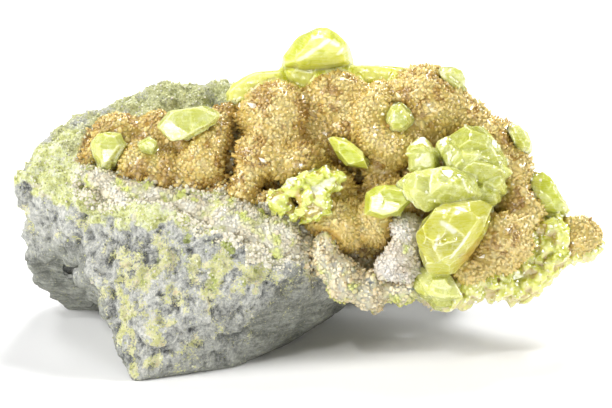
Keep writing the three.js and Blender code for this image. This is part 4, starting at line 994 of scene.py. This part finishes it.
def build_crystal(name, mat, voxel=0.18, blocks=0, size=(1.0, 2.0), stand=0.15, shrink=0.2, amp=0.02, stripes=0.0, seed=1, turn=0.15, flat=(0.7, 1.0), smoothing=1, cuts=0, depth=0.5, allow=0.3, rim=0.0, pale_left=0.0, faces=0.0, limit=0.4, sink=0.0, highlight_streaks=(), amber=(), block_gap=0.8, sparks=0):
    """A packed crystal or cluster as blocks of sulfur's own faces grown through each other, joined into one skin."""
    V0, T0 = RAW[name]
    r = np.random.default_rng(seed)
    main, _, _ = np.linalg.svd(r.normal(size=(3, 3)))
    M = bpy.data.meshes.new("n")
    M.from_pydata(V0.tolist(), [], T0.tolist())
    N0 = np.array([v.normal[:] for v in M.vertices])
    bpy.data.meshes.remove(M)
    core_v, core_t = V0 - N0 * shrink, T0
    if cuts:
        core_v, core_t = with_cuts(core_v, core_t, r, main, cuts, depth)
    parts_v, parts_t, owner, n = [core_v], [core_t], [np.zeros(len(core_t), int)], len(core_v)
    tones = [0.5]
    if blocks:
        hull = BVHTree.FromPolygons(V0.tolist(), T0.tolist())
        Vr, Qr = keep_largest(*remesh(V0, T0, 0.4))
        Nr = normals(smooth(Vr, Qr, 4), Qr)
        at = spread(Vr, size[0] * block_gap, seed + 1, blocks)
        for i in at:
            cv, cf = crystal(r)
            k = r.uniform(size[0], size[1])
            s = k * np.array([r.uniform(*flat), r.uniform(*flat), r.uniform(0.8, 1.25)])
            q, _ = np.linalg.qr(main @ (np.eye(3) + r.normal(size=(3, 3)) * turn))
            if np.linalg.det(q) < 0:
                q[:, 2] *= -1
            lift = stand * r.uniform(-0.6, 1.3)
            for _ in range(9):
                pts = (cv * s) @ q.T
                pts = pts + Vr[i] + Nr[i] * (lift - (pts @ Nr[i]).max())
                far = 0.0
                for x in pts:
                    co, no, _, dist = hull.find_nearest(x)
                    if (Vector(x) - co).dot(no) > 0:
                        far = max(far, dist)
                if far <= allow + max(lift, 0):
                    break
                s = s * 0.82
            if s.max() < 0.3:
                continue
            parts_v.append(pts)
            parts_t.append(cf + n)
            owner.append(np.full(len(cf), len(tones)))
            tones.append(r.random())
            n += len(pts)
    VA, TA, OA = np.concatenate(parts_v), np.concatenate(parts_t), np.concatenate(owner)
    V, Q = keep_largest(*remesh(VA, TA, voxel))
    tree = BVHTree.FromPolygons(VA.tolist(), TA.tolist())
    tone = np.array(tones)[[OA[tree.find_nearest(v)[2]] for v in V]]
    if faces:
        V, lab = flatten(V, Q, faces, seed + 3, limit)
        tone = 0.55 * tone + 0.45 * np.random.default_rng(seed + 4).random(lab.max() + 1)[lab]
    V = smooth(V, Q, smoothing, 0.4)
    if sink:
        base, top = V[:, 2].min(), V[:, 2].max()
        low = np.clip(1 - (V[:, 2] - base) / (0.3 * (top - base)), 0, 1)
        V[:, 2] -= sink * low
        V[:, 1] += 1.2 * sink * low
    N = normals(V, Q)
    h = amp * 2 * noise(V, 0.9, seed)
    if stripes:
        h = h + stripes * np.abs(np.sin((V[:, 2] + 0.1 * V[:, 0] + 0.5 * noise(V, 5.0, 3)) * math.pi / 1.3))
    V = V + N * h[:, None]
    V = meet(V, normals(V, Q), tree_of([k for k in RAW if k != name]), 0.6, 0.1)
    # edge drives the painted highlights and sparks, deep the painted shade in the crevices
    edge, deep = relief(V, Q, 4, 0.09)
    deep = np.maximum(deep * 0.8, np.clip(hidden(V, N, 3.0, 0.3) * 1.1 - 0.45, 0, 1))
    if pale_left:
        share = (V[:, 0] - V[:, 0].min()) / np.ptp(V[:, 0])
        tone = tone + pale_left * np.clip(0.45 - share, 0, 1)
    low = np.zeros(len(V))
    if rim:
        low = rim * np.clip((0.3 - N[:, 2] - 0.5) * 2 + 1.2 * noise(V, 2.4, seed + 9) + 0.3, 0, 1)
    lo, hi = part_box(name)
    u = (V[:, 0] - lo.x / MM) / ((hi.x - lo.x) / MM)
    w = (V[:, 2] - lo.z / MM) / ((hi.z - lo.z) / MM)
    # painted highlights: near-white streaks along the given lines, on faces not turned to the back
    flaw = np.zeros(len(V))
    for u0, w0, u1, w1, thick in highlight_streaks:
        du, dw = u1 - u0, w1 - w0
        k = np.clip(((u - u0) * du + (w - w0) * dw) / (du * du + dw * dw), 0, 1)
        off = np.hypot(u - u0 - k * du, w - w0 - k * dw) / thick + 0.5 * noise(V, 0.8, seed + 50)
        flaw = np.maximum(flaw, np.clip((1.0 - off) * 1.8, 0, 1) * (N[:, 1] < 0.2))
    warm = np.zeros(len(V))
    for cu, cw, ru, rw in amber:
        off = np.hypot((u - cu) / ru, (w - cw) / rw) + 0.35 * noise(V, 2.0, seed + 52)
        warm = np.maximum(warm, np.clip((1.1 - off) * 1.6, 0, 1))
    p = Piece(name + "_grown")
    p.add(V, Q, tone=tone, up=0.5, edge=edge, deep=deep, rim=low, flaw=flaw, warm=warm)
    if sparks:
        # tiny near-white grains on the edges that stand out, as painted glints
        at = np.where((edge > 0.15) & (N[:, 2] > -0.3))[0]
        at = at[spread(V[at], 0.8, seed + 7, sparks)]
        U, W, D = frames(N[at], seed + 8, 1.2)
        size3 = r.uniform(0.16, 0.42, (len(at), 3))
        gv, gf, gu, gt = grow(GRAIN, V[at], U, W, D, size3, r.random(len(at)))
        p.add(gv, gf, slot=1, flat=True, tone=gt, up=gu)
    p.make([mat, SPARK.mat] if sparks else [mat], name, "sulfur")
    return V, Q


build_druse("honey_druse_left", HONEY_MAT, "honey_calcite", gap=0.46, size=0.35, tall=0.42, seed=3, creep=0.7)
build_druse("honey_druse_centre", HONEY_MAT, "honey_calcite", gap=0.47, size=0.35, tall=0.55, seed=4, join=["peach_calcite_ledge", "white_calcite_knob", "sulfur_recess_crystal"], reach=5.5)
build_druse("honey_druse_right", HONEY_MAT, "honey_calcite", gap=0.47, size=0.35, tall=0.55, seed=5, join=["sulfur_ledge", "honey_druse_centre"])
build_druse("honey_druse_tip", HONEY_MAT, "honey_calcite", seed=6, gap=0.44, size=0.32, tall=0.4, join=["sulfur_ledge"], reach=2.0, inset=0.25)
build_druse("pale_calcite_band", PALE_MAT, "pale_calcite", gap=0.36, size=0.27, tall=0.34, tilt=0.6, seed=11, veil=(2.4, 0.02), creep=1.8, glints=0.0, shade=0.6, vary=0.4)
build_druse("peach_calcite_ledge", PEACH_MAT, "pale_calcite", gap=0.48, size=0.34, tall=0.26, tilt=0.6, seed=12, veil=(3.0, 0.15), creep=0.25, lump=0.32, glints=0.015, shade=0.5, vary=0.4)
build_druse("white_calcite_knob", WHITE_MAT, "pale_calcite", gap=0.34, size=0.24, tall=0.38, tilt=0.7, seed=13, veil=(2.0, 0.3), creep=1.5, glints=0.0, join=["peach_calcite_ledge"], reach=2.5, shade=0.5, vary=0.45)

build_crystal("sulfur_dome_crystal", SULFUR_CLEAR, cuts=5, depth=0.2, seed=21, shrink=-0.1, voxel=0.22, faces=1.9, limit=0.12, smoothing=2, sink=2.0, highlight_streaks=[(0.25, 0.42, 0.64, 0.84, 0.045), (0.7, 0.8, 0.76, 0.74, 0.05), (0.78, 0.56, 0.83, 0.64, 0.035), (0.44, 0.9, 0.56, 0.93, 0.03)])
build_crystal("sulfur_slab_crystal", SULFUR_SLAB, stripes=0.06, seed=22, shrink=-0.02, voxel=0.26, pale_left=1.5)
build_crystal("sulfur_left_plate_crystal", SULFUR_MILKY, cuts=4, depth=0.2, seed=23, shrink=-0.05, voxel=0.2, faces=2.2, limit=0.2)
build_crystal("sulfur_left_small_crystal", SULFUR_MILKY, cuts=4, depth=0.3, blocks=6, size=(0.8, 1.5), seed=24, shrink=0.0, faces=1.4, limit=0.3)
build_crystal("sulfur_left_bead_crystal", SULFUR_MILKY, seed=25, shrink=0.0, voxel=0.16, faces=1.3, limit=0.3)
build_crystal("sulfur_lens_crystal", SULFUR_BRIGHT, cuts=4, depth=0.25, seed=26, shrink=-0.05, voxel=0.17, faces=1.8, limit=0.3)
build_crystal("sulfur_recess_crystal", SULFUR_MILKY, blocks=10, size=(0.9, 1.8), seed=27, shrink=0.1, allow=0.6, faces=1.3, sparks=12)
build_crystal("sulfur_centre_cluster", SULFUR_FROTH, blocks=150, size=(0.5, 1.25), seed=28, stand=0.45, shrink=0.55, voxel=0.16, allow=0.6, smoothing=0, block_gap=1.5, highlight_streaks=[(0.62, 0.68, 0.84, 0.84, 0.06), (0.22, 0.72, 0.34, 0.8, 0.04), (0.1, 0.45, 0.16, 0.52, 0.03)], amber=[(0.42, 0.5, 0.05, 0.2)], sparks=70)
build_crystal("sulfur_mid_crystal", SULFUR_BRIGHT, cuts=4, depth=0.3, blocks=12, size=(1.0, 2.2), seed=29, shrink=0.0, allow=0.6, faces=1.8)
build_crystal("sulfur_front_crystal", SULFUR_WARM, cuts=6, depth=0.35, blocks=16, size=(2.0, 4.0), stand=0.3, seed=30, turn=0.1, shrink=-0.15, voxel=0.2, allow=1.4, faces=3.0, limit=0.4, highlight_streaks=[(0.42, 0.33, 0.66, 0.68, 0.028), (0.3, 0.84, 0.46, 0.72, 0.04), (0.24, 0.68, 0.2, 0.5, 0.025)], amber=[(0.82, 0.18, 0.34, 0.34)])
build_crystal("sulfur_lower_crystal", SULFUR_MILKY, cuts=5, depth=0.3, blocks=8, size=(1.6, 3.0), stand=0.5, seed=31, shrink=0.0, allow=2.2, smoothing=0)
build_crystal("sulfur_right_cluster", SULFUR_MILKY, blocks=44, size=(2.0, 4.0), seed=32, stand=0.5, shrink=0.15, voxel=0.19, allow=1.5, smoothing=0, block_gap=0.85, turn=0.07, flat=(0.55, 0.95), highlight_streaks=[(0.12, 0.86, 0.26, 0.82, 0.02), (0.56, 0.5, 0.62, 0.34, 0.012)], sparks=45)
build_crystal("sulfur_edge_crystal", SULFUR_BRIGHT, blocks=24, size=(0.9, 1.9), seed=33, shrink=0.1, allow=0.7, faces=1.5, sparks=14)
build_crystal("sulfur_crest_crystal", SULFUR_MILKY, blocks=12, size=(0.7, 1.4), seed=34, shrink=0.05, allow=0.6, faces=1.2)
build_crystal("sulfur_shoulder_crystal", SULFUR_MILKY, blocks=14, size=(0.7, 1.5), seed=35, shrink=0.05, allow=0.6, faces=1.2)
build_crystal("sulfur_ledge", SULFUR_LEDGE, blocks=420, size=(0.5, 1.4), seed=36, stand=0.6, shrink=0.9, voxel=0.19, smoothing=0, rim=0.6, allow=0.9, block_gap=1.5, sparks=260)

# ---------------------------------------------------------------- floor, light, camera


def floor():
    me = bpy.data.meshes.new("floor")
    s = 3.0
    me.from_pydata([(-s, -s, 0), (s, -s, 0), (s, s, 0), (-s, s, 0)], [], [(0, 1, 2, 3)])
    ob = bpy.data.objects.new("floor", me)
    bpy.context.scene.collection.objects.link(ob)
    m = Nodes("floor_white")
    m.set(color=(0.93, 0.93, 0.93, 1), rough=0.9, spec=0.1)
    me.materials.append(m.mat)
    ob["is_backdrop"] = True


floor()


def sun(name, azimuth, elevation, strength, size, colour=(1, 1, 1)):
    """Light from this azimuth (0 is from -Y, towards +X as it grows) and height, in degrees."""
    li = bpy.data.lights.new(name, "SUN")
    li.energy = strength
    li.angle = math.radians(size)
    li.color = colour
    ob = bpy.data.objects.new(name, li)
    bpy.context.scene.collection.objects.link(ob)
    a, e = math.radians(azimuth), math.radians(elevation)
    way = Vector((math.sin(a) * math.cos(e), -math.cos(a) * math.cos(e), math.sin(e)))
    ob.rotation_euler = way.to_track_quat("Z", "Y").to_euler()
    return ob


sun("back_softbox", 160, 55, 2.5, 20)
sun("rear_softbox", -140, 50, 0.7, 20)
sun("right_softbox", 84, 26, 1.9, 16)
sun("left_softbox", -66, 30, 2.5, 30)
sun("top_softbox", 0, 78, 0.35, 35)
sun("front_fill", 0, 6, 1.02, 20)
sun("accent", -35, 55, 0.5, 4)

world = bpy.data.worlds.new("studio")
bpy.context.scene.world = world
world.use_nodes = True
world.node_tree.nodes["Background"].inputs[0].default_value = (1, 1, 1, 1)
world.node_tree.nodes["Background"].inputs[1].default_value = 0.035

ELEVATION = math.radians(18.0)
DISTANCE = 450.0
TARGET = Vector((-0.1, -5.0, 22.7))
WIDTH = 97.92  # mm across the picture at the target
cam = bpy.data.cameras.new("camera")
cam.sensor_width = 36.0
cam.lens = 36.0 * DISTANCE / WIDTH
cam.clip_start = 0.01
cam.clip_end = 20
cam_ob = bpy.data.objects.new("camera", cam)
bpy.context.scene.collection.objects.link(cam_ob)
ahead = Vector((0, math.cos(ELEVATION), -math.sin(ELEVATION)))
cam_ob.location = (TARGET - ahead * DISTANCE) * MM
cam_ob.rotation_euler = (math.pi / 2 - ELEVATION, 0, 0)
bpy.context.scene.camera = cam_ob
bpy.context.scene.view_settings.view_transform = "Standard"
bpy.context.scene.view_settings.look = "None"
